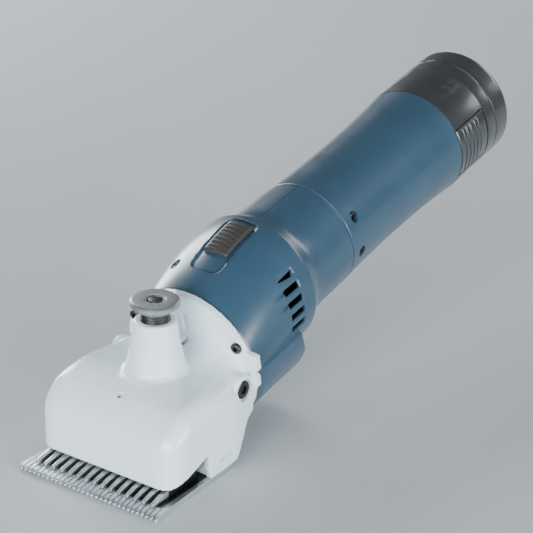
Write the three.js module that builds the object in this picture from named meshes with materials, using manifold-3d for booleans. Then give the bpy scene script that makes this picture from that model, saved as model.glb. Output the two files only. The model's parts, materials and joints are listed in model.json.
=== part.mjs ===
// Cordless sheep shears: a comb-and-cutter clipper head on a battery handle, built as an assembly.
//
// Two frames are used, both in millimetres.
// - The cutting frame stands on the comb: z = 0 is the comb's underside, y = 0 the comb's tips, +y the rear,
//   +x the right-hand side.
// - The handle frame is tilted up from it. Its y axis is the handle's axis, and y = 0 is the plane where the
//   head's flange meets the motor housing. The crank shaft lies CRANK_DROP below the handle's axis, in the
//   flange's centre.
// The exported group is shifted along y so that its origin is under the middle of the tool's length.
import * as THREE from "three";
import { mergeVertices } from "three/addons/utils/BufferGeometryUtils.js";
import Module from "manifold-3d";

const wasm = await Module();
wasm.setup();

// ---------------------------------------------------------------- driving dimensions

const TILT = THREE.MathUtils.degToRad(10.6);
const HANDLE_AT = { y: 74.7, z: 47.7 };
const CRANK_DROP = 11.4;
const GAP = 0.3; // between pieces that rest on each other

const COMB = { tipHalf: 38.2, neckHalf: 37.4, rearHalf: 36, length: 60, thick: 3.2, teeth: 31, toothLength: 14 };
const CUTTER = { half: 32.4, tipY: 5, rootY: 17, rearY: 36, low: 3.5, high: 7.3, teeth: 15 };
const LEVER = { pivotY: 49, pegX: 14, pegY: 27, low: 17.5, high: 23.5, forkY: 61, forkHigh: 38, forkGap: 11.2 };
const TOWER = { y: 49, low: 36, baseR: 12.8, topR: 9.4, seatZ: 42, high: 65.5, boreR: 6.8, guideR: 3.4 };
const KNOB = { rimR: 10.9, low: 70, high: 75.3, stemR: 6.5, stemLow: 64.3 };
const FLANGE = { r: 34.6, thick: 3.2, screwX: 28, screwZ: 4.3 };
const HEAD = { front: 12, rear: 74, padY: 40, wall: 3.2, cavityFront: 15.4, cavityRear: 67 };

const SHELL = { wall: 2.5, bulgeR: 33, bulgeY: 45, front: 0.4, seam: 88.9, spigotEnd: 101, spigotR: 24.9 };
const KEEL = { r: 34, rear: 40, wall: 2.5 };
const SLEEVE = { start: 89.3, end: 184.4, boreR: 24.2, collarSeat: 176 };
const BATTERY = { start: 143.2, rim: 209.6, seam: 217.4, end: 231.6, r: 28.7, endCorner: 4.5 };
const CELLS = { r: 9.05, pitch: 9.35, start: 147.2, end: 210.8, lobeR: 10.3 };
const PAD = { start: 184.8, end: 209.2, halfZ: 12.7, innerR: 25 };
const PAD_RIBS = { count: 5, first: 2.4, pitch: 3.4, width: 1.4, height: 0.5 };

const GEAR = { module: 0.6, pinionTeeth: 8, wheelTeeth: 30, start: 8, end: 12.5 };
const CRANK = { throw: 1.2, rollerR: 2.5, rollerStart: -13.6, rollerEnd: -8.2, shaftR: 3 };
const MOTOR = { r: 18, start: 38, end: 94, shaftR: 1.6 };
const FAN = { r: 17.5, start: 28, end: 34.5, blades: 9 };
const SWITCH = { half: 6.2, front: 23, rear: 44.6, sunk: 0.85, proud: 1.1, ribs: 7, ribHeight: 0.5 };

const LOOKS = {
  white_head: [0xe6eaec, 0.32, 0.1],
  blue_housing: [0x3a5878, 0.45, 0],
  black_plastic: [0x1c1e20, 0.4, 0],
  grey_plastic: [0xa9adb6, 0.5, 0],
  bright_steel: [0xc4c6c8, 0.25, 1],
  dark_steel: [0x4a4c50, 0.4, 1],
  aluminium: [0xb4b8bc, 0.4, 1],
  brass: [0xc0963c, 0.3, 1],
  copper_green: [0x2c6a42, 0.6, 0],
  cell_wrap: [0x2f7f8c, 0.5, 0],
  lead_red: [0xa82420, 0.5, 0],
  lead_black: [0x18181a, 0.5, 0],
};

// ---------------------------------------------------------------- solids from three.js geometry

function solidOf(geometry) {
  const bare = geometry.index ? geometry.toNonIndexed() : geometry.clone();
  for (const name of Object.keys(bare.attributes)) {
    if (name !== "position") bare.deleteAttribute(name);
  }
  const merged = mergeVertices(bare, 1e-4);
  return new wasm.Manifold(
    new wasm.Mesh({
      numProp: 3,
      vertProperties: merged.attributes.position.array,
      triVerts: new Uint32Array(merged.index.array),
    }),
  );
}

function geometryOf(solid) {
  const mesh = solid.getMesh();
  const positions = new Float32Array(mesh.numVert * 3);
  for (let i = 0; i < mesh.numVert; i++) {
    positions.set(mesh.vertProperties.subarray(i * mesh.numProp, i * mesh.numProp + 3), i * 3);
  }
  return new THREE.BufferGeometry()
    .setAttribute("position", new THREE.BufferAttribute(positions, 3))
    .setIndex(new THREE.BufferAttribute(mesh.triVerts, 1));
}

const join = (first, ...rest) => rest.reduce((a, b) => a.add(b), first);
const cut = (first, ...rest) => rest.reduce((a, b) => a.subtract(b), first);

function box(x0, x1, y0, y1, z0, z1) {
  const g = new THREE.BoxGeometry(x1 - x0, y1 - y0, z1 - z0);
  return solidOf(g.translate((x0 + x1) / 2, (y0 + y1) / 2, (z0 + z1) / 2));
}

// Round bars along each axis. endR is the radius at the far end, for a cone.
function roundY(r, y0, y1, x = 0, z = 0, sides = 24, endR = r) {
  return solidOf(new THREE.CylinderGeometry(endR, r, y1 - y0, sides).translate(x, (y0 + y1) / 2, z));
}

function roundZ(r, z0, z1, x = 0, y = 0, sides = 24, endR = r) {
  const g = new THREE.CylinderGeometry(endR, r, z1 - z0, sides).rotateX(Math.PI / 2);
  return solidOf(g.translate(x, y, (z0 + z1) / 2));
}

function roundX(r, x0, x1, y = 0, z = 0, sides = 24, endR = r) {
  const g = new THREE.CylinderGeometry(endR, r, x1 - x0, sides).rotateZ(-Math.PI / 2);
  return solidOf(g.translate((x0 + x1) / 2, y, z));
}

// A plate with an outline in x and y, from z0 up to z1.
function plateZ(points, z0, z1) {
  const shape = new THREE.Shape(points.map(([x, y]) => new THREE.Vector2(x, y)));
  const g = new THREE.ExtrudeGeometry(shape, { depth: z1 - z0, bevelEnabled: false });
  return solidOf(g.translate(0, 0, z0));
}

// A prism with an outline in x and z, from y0 to y1.
function prismY(points, y0, y1) {
  const shape = new THREE.Shape(points.map(([x, z]) => new THREE.Vector2(x, z)));
  const g = new THREE.ExtrudeGeometry(shape, { depth: y1 - y0, bevelEnabled: false });
  return solidOf(g.rotateX(Math.PI / 2).translate(0, y1, 0));
}

// A prism with an outline in y and z, from x0 to x1.
function prismX(points, x0, x1) {
  const shape = new THREE.Shape(points.map(([y, z]) => new THREE.Vector2(y, z)));
  const g = new THREE.ExtrudeGeometry(shape, { depth: x1 - x0, bevelEnabled: false });
  return solidOf(g.rotateX(Math.PI / 2).rotateZ(Math.PI / 2).translate(x0, 0, 0));
}

// A body of revolution about the y axis. The profile is [radius, y] and starts and ends on the axis or closes.
function turnedY(profile, sides = 40) {
  const points = profile.map(([r, y]) => new THREE.Vector2(r, y));
  return solidOf(new THREE.LatheGeometry(points, sides));
}

function tubeY(outer, inner, y0, y1, sides = 32) {
  return turnedY([[inner, y0], [outer, y0], [outer, y1], [inner, y1], [inner, y0]], sides);
}

// A skin over rings of equal point count, given in order along +y and going round from the top towards +x.
function loft(rings) {
  const n = rings[0].length;
  const points = rings.flat();
  const index = [];
  for (let i = 0; i + 1 < rings.length; i++) {
    for (let j = 0; j < n; j++) {
      const a = i * n + j;
      const b = i * n + ((j + 1) % n);
      index.push(a, b, a + n, b, b + n, a + n);
    }
  }
  for (const end of [0, rings.length - 1]) {
    const centre = points.push(middleOf(rings[end])) - 1;
    for (let j = 0; j < n; j++) {
      const a = end * n + j;
      const b = end * n + ((j + 1) % n);
      index.push(centre, ...(end ? [a, b] : [b, a]));
    }
  }
  return solidOf(new THREE.BufferGeometry().setFromPoints(points).setIndex(index));
}

function middleOf(ring) {
  return ring.reduce((sum, p) => sum.add(p), new THREE.Vector3()).divideScalar(ring.length);
}

function circleRing(y, r, z = 0, sides = 32) {
  return Array.from({ length: sides }, (_, i) => {
    const a = (2 * Math.PI * i) / sides;
    return new THREE.Vector3(r * Math.sin(a), y, z + r * Math.cos(a));
  });
}

// A rounded rectangle at one y: half width, low and high z, and the radii of its upper and lower corners.
function roundedRing(y, half, low, high, topR, lowR, steps = 6) {
  const corners = [[1, 1], [1, -1], [-1, -1], [-1, 1]];
  return corners.flatMap(([sx, sz], quarter) =>
    Array.from({ length: steps + 1 }, (_, i) => {
      const r = sz > 0 ? topR : lowR;
      const a = (Math.PI / 2) * (quarter + i / steps);
      const z = sz > 0 ? high - r : low + r;
      return new THREE.Vector3(sx * (half - r) + r * Math.sin(a), y, z + r * Math.cos(a));
    }),
  );
}

// Straight lines between [position, value] pairs.
function along(table, at) {
  const next = table.findIndex(([position]) => position >= at);
  if (next === 0) return table[0][1];
  if (next < 0) return table.at(-1)[1];
  const [[p0, v0], [p1, v1]] = [table[next - 1], table[next]];
  return v0 + ((v1 - v0) * (at - p0)) / (p1 - p0);
}

const HANDLE_MATRIX = new THREE.Matrix4()
  .makeTranslation(0, HANDLE_AT.y, HANDLE_AT.z)
  .multiply(new THREE.Matrix4().makeRotationX(TILT));

// A solid drawn in the handle frame, moved into the cutting frame, for the head's casting.
const fromHandle = (solid) => solidOf(geometryOf(solid).applyMatrix4(HANDLE_MATRIX));

// ---------------------------------------------------------------- assembly

const root = new THREE.Group();
const cutting = new THREE.Group();
const handle = new THREE.Group();
handle.applyMatrix4(HANDLE_MATRIX);
cutting.add(handle);
root.add(cutting);

function place(frame, name, look, solid) {
  const [color, roughness, metalness] = LOOKS[look];
  const material = new THREE.MeshStandardMaterial({ color, roughness, metalness });
  const mesh = new THREE.Mesh(geometryOf(solid), material);
  mesh.name = name;
  frame.add(mesh);
}

// ---------------------------------------------------------------- comb and cutter

// The front edge of a toothed plate, from +x to -x: tips at tipY, gaps back to rootY.
function toothEdge(teeth, halfAtTip, halfAtRoot, tipY, rootY, tipWidth, rootWidth) {
  const points = [];
  for (let i = teeth - 1; i >= 0; i--) {
    const share = (2 * i) / (teeth - 1) - 1;
    const tipX = share * (halfAtTip - tipWidth / 2);
    const rootX = share * (halfAtRoot - rootWidth / 2);
    points.push([rootX + rootWidth / 2, rootY], [tipX + tipWidth / 2, tipY]);
    points.push([tipX - tipWidth / 2, tipY], [rootX - rootWidth / 2, rootY]);
  }
  return points;
}

const COMB_SCREW = { x: 18, y: 50, headR: 3.9, headZ: 1.7, shankR: 2.2 };

function comb() {
  const c = COMB;
  const edge = toothEdge(c.teeth, c.tipHalf, c.neckHalf, 0, c.toothLength, 0.9, 1.5);
  const outline = [...edge, [-c.rearHalf, c.length - 3], [-c.rearHalf + 3, c.length]];
  outline.push([c.rearHalf - 3, c.length], [c.rearHalf, c.length - 3]);
  const plate = plateZ(outline, 0, c.thick);
  // The tips thin from above and from below.
  const side = [[-1, 0.7], [7, 0], [c.length + 1, 0], [c.length + 1, c.thick], [5, c.thick], [-1, 1.6]];
  const slots = [-1, 1].flatMap((sx) => {
    const x = sx * COMB_SCREW.x;
    return [
      roundZ(2.6, -1, 5, x, COMB_SCREW.y),
      box(x - 2.6, x + 2.6, COMB_SCREW.y, c.length + 1, -1, 5),
      roundZ(4.3, -1, 1.9, x, COMB_SCREW.y),
      box(x - 4.3, x + 4.3, COMB_SCREW.y, c.length + 1, -1, 1.9),
    ];
  });
  return cut(plate.intersect(prismX(side, -50, 50)), ...slots);
}

function cutter() {
  const c = CUTTER;
  const edge = toothEdge(c.teeth, c.half, c.half, c.tipY, c.rootY, 1.5, 2.5);
  const plate = plateZ([...edge, [-c.half, c.rearY], [c.half, c.rearY]], c.low, c.high);
  const side = [[4, c.low], [c.rearY + 1, c.low], [c.rearY + 1, c.high], [c.rootY, c.high], [4, c.low + 1.4]];
  const holes = [-1, 1].map((sx) => roundZ(2.6, 0, 10, sx * LEVER.pegX, LEVER.pegY));
  return cut(plate.intersect(prismX(side, -50, 50)), ...holes);
}

function combScrew(x) {
  const head = roundZ(COMB_SCREW.headR, 0.2, COMB_SCREW.headZ, x, COMB_SCREW.y);
  const shank = roundZ(COMB_SCREW.shankR, COMB_SCREW.headZ - 0.1, 9, x, COMB_SCREW.y, 16);
  const slot = box(x - 3, x + 3, COMB_SCREW.y - 0.5, COMB_SCREW.y + 0.5, -1, 0.9);
  return cut(join(head, shank), slot);
}

// ---------------------------------------------------------------- head casting

// The head's outside at stations along y: its top, half width, underside and the radius of its upper edges.
const HEAD_TOP = [
  [12, 22], [12.6, 25], [14, 28.8], [17, 33], [20.5, 36.3], [25, 39.2], [32, 41], [42, 42], [56, 42], [63, 43],
  [68, 45.5], [71.5, 49], [74, 53],
];
const HEAD_HALF = [
  [12, 28.4], [12.6, 31.6], [14, 34.2], [17, 36.4], [20.5, 37.4], [25, 37.8], [42, 37.8], [56, 37.2], [63, 36.4],
  [68, 35.6], [74, 34.6],
];
const HEAD_LOW = [[12, 8], [38.8, 8], [39, 3.5], [60, 3.5], [69, 19], [74, 21]];
const HEAD_TOP_RADIUS = [[12, 6], [18, 9], [42, 10.5], [56, 12], [63, 15], [68, 18], [71.5, 22], [74, 25]];
const HEAD_STATIONS = [12, 12.6, 14, 17, 20.5, 25, 38.8, 39, 56, 60, 63, 68, 71.5, 74];

function headLoft(inset, from, to, low) {
  const stations = [from, ...HEAD_STATIONS.filter((y) => y > from + 0.2 && y < to - 0.2), to];
  return loft(
    stations.map((y) => {
      const half = along(HEAD_HALF, y) - inset;
      const high = along(HEAD_TOP, y) - inset;
      const bottom = low === undefined ? along(HEAD_LOW, y) : low(y);
      return roundedRing(y, half, bottom, high, Math.max(2, along(HEAD_TOP_RADIUS, y) - inset), 0.5, 4);
    }),
  );
}

const SIDE_SCREW = { y: -10.8, z: -CRANK_DROP, boss: 35.4, seat: 33.4, recessR: 5.2, headR: 4.2, head: 1.3 };
const OIL_HOLES = [24.6, 69.4];

function headCasting() {
  const top = headLoft(0, HEAD.front, HEAD.rear);
  const disc = roundY(FLANGE.r, -FLANGE.thick, 0, 0, -CRANK_DROP, 36);
  const ears = prismY(
    [[-36, 2.3], [-37.6, 0.5], [-37.6, -9], [-36, -10.9], [36, -10.9], [37.6, -9], [37.6, 0.5], [36, 2.3]],
    -FLANGE.thick,
    0,
  );
  const tower = join(
    roundZ(TOWER.baseR, TOWER.seatZ, TOWER.high, 0, TOWER.y, 24, TOWER.topR),
    roundZ(TOWER.baseR + 3, TOWER.low, TOWER.seatZ + 2.5, 0, TOWER.y, 24, TOWER.baseR - 0.4),
  );
  const bosses = [-1, 1].map((sx) => {
    const [x0, x1] = [22, SIDE_SCREW.boss].map((x) => sx * x).sort((a, b) => a - b);
    return roundX(7, x0, x1, SIDE_SCREW.y, SIDE_SCREW.z, 16);
  });
  // The cavity is open underneath in front of the comb's pad, and closed by the pad behind it.
  const frontCavity = headLoft(HEAD.wall, HEAD.cavityFront, HEAD.padY, () => -1);
  const padTop = [[39, 10], [59, 10], [HEAD.cavityRear, 17]];
  const rearCavity = headLoft(HEAD.wall, HEAD.padY - 1, HEAD.cavityRear, (y) => along(padTop, y));
  const shell = cut(join(top, tower, fromHandle(disc), fromHandle(ears)), frontCavity, rearCavity);
  const crankPassage = fromHandle(roundY(9.5, -20, 1, 0, -CRANK_DROP, 24));
  const windows = prismX([[10, 7.6], [13.5, 8], [36.6, 15.7], [36.6, -2], [10, -2]], -60, 60)
    .subtract(box(-24, 24, 0, 60, -5, 40))
    .subtract(box(-60, 60, 0, 14, 7.9, 40));
  const towerBore = join(
    roundZ(TOWER.guideR, 30, TOWER.high + 1, 0, TOWER.y, 16),
    roundZ(TOWER.boreR, 48, TOWER.high + 1, 0, TOWER.y, 20),
  );
  const flangeHoles = FLANGE_SCREWS.map(([x, z]) => roundY(2.2, -20, 2, x, z, 10));
  const sideHoles = [-1, 1].flatMap((sx) => {
    const span = (a, b) => [sx * a, sx * b].sort((p, q) => p - q);
    return [
      roundX(SIDE_SCREW.recessR, ...span(SIDE_SCREW.seat, 45), SIDE_SCREW.y, SIDE_SCREW.z, 20),
      roundX(2.5, ...span(20, 45), SIDE_SCREW.y, SIDE_SCREW.z, 10),
    ];
  });
  const combHoles = [-1, 1].map((sx) => roundZ(2.5, 2, 11, sx * COMB_SCREW.x, COMB_SCREW.y, 16));
  const oilHoles = OIL_HOLES.map((y) => roundZ(1.1, 30, 60, 0, y, 8));
  const whole = join(shell, ...bosses.map(fromHandle));
  const inHandle = [...flangeHoles, ...sideHoles].map(fromHandle);
  return cut(whole, crankPassage, windows, towerBore, ...inHandle, ...combHoles, ...oilHoles, pivotHole());
}

const FLANGE_SCREWS = [
  [-FLANGE.screwX, FLANGE.screwZ],
  [FLANGE.screwX, FLANGE.screwZ],
  [0, -41.8],
];

// A socket screw pointing along +y, drawn with the underside of its head at y = 0.
function socketScrewY(x, y, z, headR, headHeight, shankR, length) {
  const head = roundY(headR, y - headHeight, y, x, z, 14);
  const shank = roundY(shankR, y - 0.1, y + length, x, z, 8);
  const socket = roundY(headR * 0.5, y - headHeight - 1, y - headHeight * 0.4, x, z, 6);
  return cut(join(head, shank), socket);
}

function flangeScrew([x, z], headR) {
  return socketScrewY(x, -FLANGE.thick - GAP, z, headR, 1.6, 1.7, FLANGE.thick);
}

// A socket screw that goes in along x from the side sx, with the top of its head at headX.
function socketScrewX(sx, headX, y, z, headR, headHeight, shankR, length) {
  const span = (a, b) => [sx * a, sx * b].sort((p, q) => p - q);
  const head = roundX(headR, ...span(headX - headHeight, headX), y, z, 14);
  const shank = roundX(shankR, ...span(headX - headHeight - length, headX - headHeight + 0.1), y, z, 8);
  const socket = roundX(headR * 0.5, ...span(headX - headHeight * 0.6, headX + 1), y, z, 6);
  return cut(join(head, shank), socket);
}

function sideScrew(side) {
  const { y, z, seat, headR, head } = SIDE_SCREW;
  return socketScrewX(side, seat + GAP + head, y, z, headR, head, 2, 8);
}

// ---------------------------------------------------------------- lever, pivot and tension parts

const pivotHole = () => roundZ(2.5, 0, 12, 0, LEVER.pivotY, 16);

function pivotPost() {
  const ball = solidOf(new THREE.SphereGeometry(3, 16, 10).translate(0, LEVER.pivotY, 14.1));
  return join(ball, roundZ(3, 10.3, 14.1, 0, LEVER.pivotY, 16), roundZ(2.2, 4, 10.4, 0, LEVER.pivotY, 16));
}

function lever() {
  const l = LEVER;
  const arms = plateZ(
    [
      [-l.pegX - 3.5, l.pegY - 3], [-l.pegX + 3.5, l.pegY - 3], [0, 41], [l.pegX - 3.5, l.pegY - 3],
      [l.pegX + 3.5, l.pegY - 3], [l.pegX + 2, l.pegY + 5], [6, 47], [5, 65], [-5, 65], [-6, 47],
      [-l.pegX - 2, l.pegY + 5],
    ],
    l.low,
    l.high,
  );
  const hub = roundZ(7.5, l.low, l.high + 1.5, 0, l.pivotY, 20);
  const pegs = [-1, 1].map((sx) => roundZ(2.2, CUTTER.low + 1, l.low + 1, sx * l.pegX, l.pegY, 16));
  const half = l.forkGap / 2;
  const fork = cut(
    box(-half - 2.6, half + 2.6, l.forkY, l.forkY + 4.5, l.low, l.forkHigh),
    box(-half, half, l.forkY - 1, l.forkY + 6, 27, l.forkHigh + 1),
  );
  const cup = roundZ(3.5, l.high + 0.4, l.high + 3, 0, l.pivotY, 20);
  return cut(join(arms, hub, fork, ...pegs), cup);
}

const SPRING = { low: 53.3, high: 61.7, r: 5.1, wire: 0.5, turns: 4 };

function tensionPin() {
  return join(
    roundZ(3, LEVER.high + 0.8, 51, 0, TOWER.y, 20),
    roundZ(6.2, 50.9, 53, 0, TOWER.y, 24),
    roundZ(3.2, 52.9, 57, 0, TOWER.y, 20),
  );
}

class Helix extends THREE.Curve {
  getPoint(t, target = new THREE.Vector3()) {
    const a = 2 * Math.PI * SPRING.turns * t;
    const low = SPRING.low + SPRING.wire;
    const z = low + (SPRING.high - SPRING.wire - low) * t;
    return target.set(SPRING.r * Math.cos(a), TOWER.y + SPRING.r * Math.sin(a), z);
  }
}

function tensionSpring() {
  const section = new THREE.Shape().absarc(0, 0, SPRING.wire, 0, 2 * Math.PI);
  const options = { steps: 44, extrudePath: new Helix(), curveSegments: 2, bevelEnabled: false };
  return solidOf(new THREE.ExtrudeGeometry(section, options));
}

const springCap = () => roundZ(6.2, SPRING.high + GAP, 64, 0, TOWER.y, 24);

function tensionKnob() {
  const { rimR, low, high, stemR, stemLow } = KNOB;
  const profile = [
    [0, stemLow], [stemR, stemLow], [stemR, low - 1.2], [7.6, low], [8.2, low + 1], [rimR - 0.6, low + 1.7],
    [rimR, low + 2.3], [rimR, high - 0.9], [rimR - 0.8, high], [4.2, high], [3.8, high - 1.6], [0, high - 1.6],
  ];
  const points = profile.map(([r, z]) => new THREE.Vector2(r, z));
  const turned = new THREE.LatheGeometry(points, 24).rotateX(Math.PI / 2).scale(1, -1, 1);
  flip(turned);
  return solidOf(turned.translate(0, TOWER.y, 0));
}

// Turns each face round, after a mirroring.
function flip(geometry) {
  const index = geometry.index.array;
  for (let i = 0; i < index.length; i += 3) {
    [index[i + 1], index[i + 2]] = [index[i + 2], index[i + 1]];
  }
}

// ---------------------------------------------------------------- crank, gears and motor (handle frame)

// A gear's outline in x and z. Each tooth has two root and two tip points; the first tooth's middle is at firstAngle.
function gearOutline(teeth, x, z, widths, firstAngle) {
  const pitchR = (GEAR.module * teeth) / 2;
  const points = [];
  for (let i = 0; i < teeth; i++) {
    const middle = firstAngle + (2 * Math.PI * i) / teeth;
    const at = (r, width, side) => {
      const a = middle + (side * width) / 2 / r;
      points.push([x + r * Math.cos(a), z + r * Math.sin(a)]);
    };
    at(pitchR - 0.72, widths.root, -1);
    at(pitchR + 0.5, widths.tip, -1);
    at(pitchR + 0.5, widths.tip, 1);
    at(pitchR - 0.72, widths.root, 1);
  }
  return points;
}

function motorShaft() {
  const widths = { root: 1.05, tip: 0.3 };
  const teeth = gearOutline(GEAR.pinionTeeth, 0, 0, widths, -Math.PI / 2);
  const pinion = prismY(teeth, GEAR.start - 0.3, GEAR.end + 0.5);
  return join(pinion, roundY(MOTOR.shaftR, GEAR.end + 0.4, MOTOR.end - 1.6, 0, 0, 16));
}

function driveGear() {
  const widths = { root: 1.1, tip: 0.3 };
  const gapAtTop = Math.PI / 2 + Math.PI / GEAR.wheelTeeth;
  const wheel = prismY(gearOutline(GEAR.wheelTeeth, 0, -CRANK_DROP, widths, gapAtTop), GEAR.start, GEAR.end);
  return cut(wheel, roundY(CRANK.shaftR + GAP, 0, 20, 0, -CRANK_DROP));
}

function crankShaft() {
  const z = -CRANK_DROP;
  return join(
    roundY(CRANK.shaftR, -5.5, 19.2, 0, z),
    roundY(6, -7.6, -5.4, 0, z),
    roundY(1.3, -14.4, -7.5, 0, z + CRANK.throw, 16),
    roundY(4.6, GEAR.end + GAP, GEAR.end + 2, 0, z),
  );
}

function crankRoller() {
  const ring = tubeY(CRANK.rollerR, 1.3 + GAP, CRANK.rollerStart, CRANK.rollerEnd, 20);
  return ring.translate([0, 0, CRANK.throw - CRANK_DROP]);
}

const BEARING = { frontR: 8, rearR: 6.5 };
const bearing = (r, y0, y1) => tubeY(r, CRANK.shaftR + GAP, y0, y1, 24).translate([0, 0, -CRANK_DROP]);

function gearboxFrame() {
  const z = -CRANK_DROP;
  const front = roundY(29.6, 0.5, 4.5, 0, z, 32);
  const rear = roundY(22, 15.6, 19, 0, z + 4, 24);
  const posts = [[-17, -18], [17, -18], [-15, 2], [15, 2]].map(([x, pz]) => roundY(3, 4.4, 15.7, x, pz, 8));
  const bores = [
    roundY(BEARING.frontR + GAP, 0, 5, 0, z, 24),
    roundY(BEARING.rearR + GAP, 15, 20, 0, z, 24),
    roundY(MOTOR.shaftR + 1, 15, 20, 0, 0, 16),
  ];
  const screwHoles = FLANGE_SCREWS.slice(0, 2).map(([x, sz]) => roundY(1.8, 0, 6, x * 0.93, sz - 1, 12));
  return cut(join(front, rear, ...posts), ...bores, ...screwHoles);
}

function motorCan() {
  const { r, start, end } = MOTOR;
  const outside = [[4, start], [r - 1, start], [r, start + 1], [r, end - 4]];
  const inside = [[r - 1.4, end - 4], [r - 1.4, start + 1.6], [4, start + 1.6], [4, start]];
  return turnedY([...outside, ...inside], 28);
}

function motorEndCap() {
  const { r, end } = MOTOR;
  const cap = join(roundY(r - 0.3, end - 3.6, end, 0, 0, 28), roundY(7, end - 0.1, end + 2.5, 0, 0, 16));
  return cut(cap, roundY(3, end - 5, end - 1.2, 0, 0, 16));
}

function armature() {
  const { start, end, shaftR } = MOTOR;
  const core = roundY(13, start + 7, end - 20, 0, 0, 24);
  const slots = [0, 1, 2, 3, 4].map((i) => {
    const a = (2 * Math.PI * i) / 5;
    return roundY(2, start + 6, end - 19, 13 * Math.sin(a), 13 * Math.cos(a), 10);
  });
  const commutator = roundY(5, end - 20.5, end - 10, 0, 0, 20);
  return cut(join(core, commutator), ...slots, roundY(shaftR + GAP, start, end, 0, 0, 16));
}

function coolingFan() {
  const { r, start, end, blades } = FAN;
  const disc = roundY(r, end - 1.2, end, 0, 0, 32);
  const hub = roundY(4, start, end - 1, 0, 0, 20);
  const vanes = Array.from({ length: blades }, (_, i) =>
    box(-0.6, 0.6, start + 1, end - 1, 3.6, r - 0.4).rotate([0, (360 * i) / blades, 0]),
  );
  return cut(join(disc, hub, ...vanes), roundY(MOTOR.shaftR + GAP, start - 1, end + 1, 0, 0, 16));
}

// ---------------------------------------------------------------- motor housing (handle frame)

const bulgeCentre = (y) => -CRANK_DROP * Math.max(0, 1 - y / SHELL.bulgeY) ** 1.9;
const SHELL_RADIUS = [
  [0.4, 32.2], [1.6, 33], [45, 33], [49, 32.8], [52, 32], [54.5, 30.6], [57, 29.3], [60, 28.6], [66, 28.1],
  [78, 27.9], [88.9, 27.7],
];
const SHELL_STATIONS = [0.4, 1.6, 9, 18, 27, 36, 46, 51, 54.5, 58, 64, 88.9];

function shellLoft(inset, from, to) {
  const stations = [from, ...SHELL_STATIONS.filter((y) => y > from + 0.2 && y < to - 0.2), to];
  return loft(stations.map((y) => circleRing(y, along(SHELL_RADIUS, y) - inset, bulgeCentre(y))));
}

// The keel is the lower half of the flange's circle, run back along the housing, with a slanted end.
function keel(inset, from) {
  const round = roundY(KEEL.r - inset, from, KEEL.rear + 4 - inset, 0, -CRANK_DROP, 36);
  const ridge = 1 - CRANK_DROP - inset;
  const slant = [[36.5, ridge], [KEEL.rear + 1, -24], [KEEL.rear, -60]].map(([y, z]) => [y - inset, z]);
  const lower = prismX([[from - 1, ridge], ...slant, [from - 1, -60]], -50, 50);
  return round.intersect(lower);
}

const VENTS = { angles: [57.5, 68.7, 79.9, 91.1, 102.3], start: 31.2, end: 41.2, width: 3.3 };

function ventCut(side, degrees) {
  const slot = box(-VENTS.width / 2, VENTS.width / 2, VENTS.start, VENTS.end, 20, 45);
  return slot.rotate([0, side * degrees, 0]);
}

const RECESS = { half: 8.2, front: 13, rear: 47, depth: 1.2 };

function switchRecess() {
  const { half, front, rear, depth } = RECESS;
  const right = [[half - 3, front], [half, front + 3.5], [half, rear]];
  const outline = [...right, ...right.map(([x, y]) => [-x, y]).reverse()];
  const pocket = cut(plateZ(outline, 18, 45), shellLoft(depth, SHELL.front, SHELL.seam));
  return join(pocket, box(-1.6, 1.6, 27.4, 39.6, 18, 45));
}

// Where the screws that hold the two halves together go in: along the handle, and round from the top.
const HOUSING_SCREWS = [[15.7, -32], [76, -90]];
const HOUSING_SCREW = { recessR: 2.9, seat: 1.8, headR: 2.4, headHeight: 1, length: 4 };
const SLEEVE_SCREW = { y: 97, heights: [13, -5] };

function housing(side) {
  const outer = join(shellLoft(0, SHELL.front, SHELL.seam), keel(0, SHELL.front), spigot());
  const inner = join(
    shellLoft(SHELL.wall, -1, SHELL.seam - 3),
    keel(KEEL.wall, -1),
    roundY(SHELL.spigotR - 2, SHELL.seam - 4, SHELL.spigotEnd + 1, 0, 0, 32),
  );
  const ribs = [46, 82].map((y) => tubeY(35, MOTOR.r + GAP, y, y + 2, 32));
  const keep = side > 0 ? box(0.15, 60, -5, 110, -60, 60) : box(-60, -0.15, -5, 110, -60, 60);
  const screws = SLEEVE_SCREW.heights.map((z) => roundX(1.7, 10, 40, SLEEVE_SCREW.y, z, 12));
  const leftHoles = () => [...screws.map((s) => s.mirror([1, 0, 0])), ...HOUSING_SCREWS.map(housingScrewHole)];
  const holes = side > 0 ? screws : leftHoles();
  const vents = VENTS.angles.map((a) => ventCut(side, a));
  const shell = join(cut(outer, inner), ...ribs.map((rib) => rib.intersect(outer)));
  return cut(shell, switchRecess(), ...vents, ...holes).intersect(keep);
}

// Turns a solid drawn upwards from the shell's centre so that it points out of the shell at an angle from the top.
function pointedOut(solid, y, degrees) {
  return solid.rotate([0, degrees, 0]).translate([0, y, bulgeCentre(y)]);
}

function housingScrewHole([y, degrees]) {
  const outside = along(SHELL_RADIUS, y);
  const recess = roundZ(HOUSING_SCREW.recessR, outside - HOUSING_SCREW.seat, outside + 10, 0, 0, 16);
  return pointedOut(join(recess, roundZ(1.4, outside - 12, outside, 0, 0, 8)), y, degrees);
}

function housingScrew([y, degrees]) {
  const { seat, headR, headHeight, length } = HOUSING_SCREW;
  const top = along(SHELL_RADIUS, y) - seat + GAP + headHeight;
  const head = roundZ(headR, top - headHeight, top, 0, 0, 14);
  const shank = roundZ(1.1, top - headHeight - length, top - headHeight + 0.1, 0, 0, 8);
  const socket = roundZ(headR * 0.5, top - headHeight * 0.6, top + 1, 0, 0, 6);
  return pointedOut(cut(join(head, shank), socket), y, degrees);
}

const spigot = () => roundY(SHELL.spigotR, SHELL.seam - 3, SHELL.spigotEnd, 0, 0, 32);

// ---------------------------------------------------------------- handle sleeve and collar (handle frame)

const SLEEVE_RADIUS = [
  [89.3, 27.6], [106, 26.9], [130, 26.6], [154, 26.9], [170, 27.6], [184.4, 28.6],
];

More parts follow.
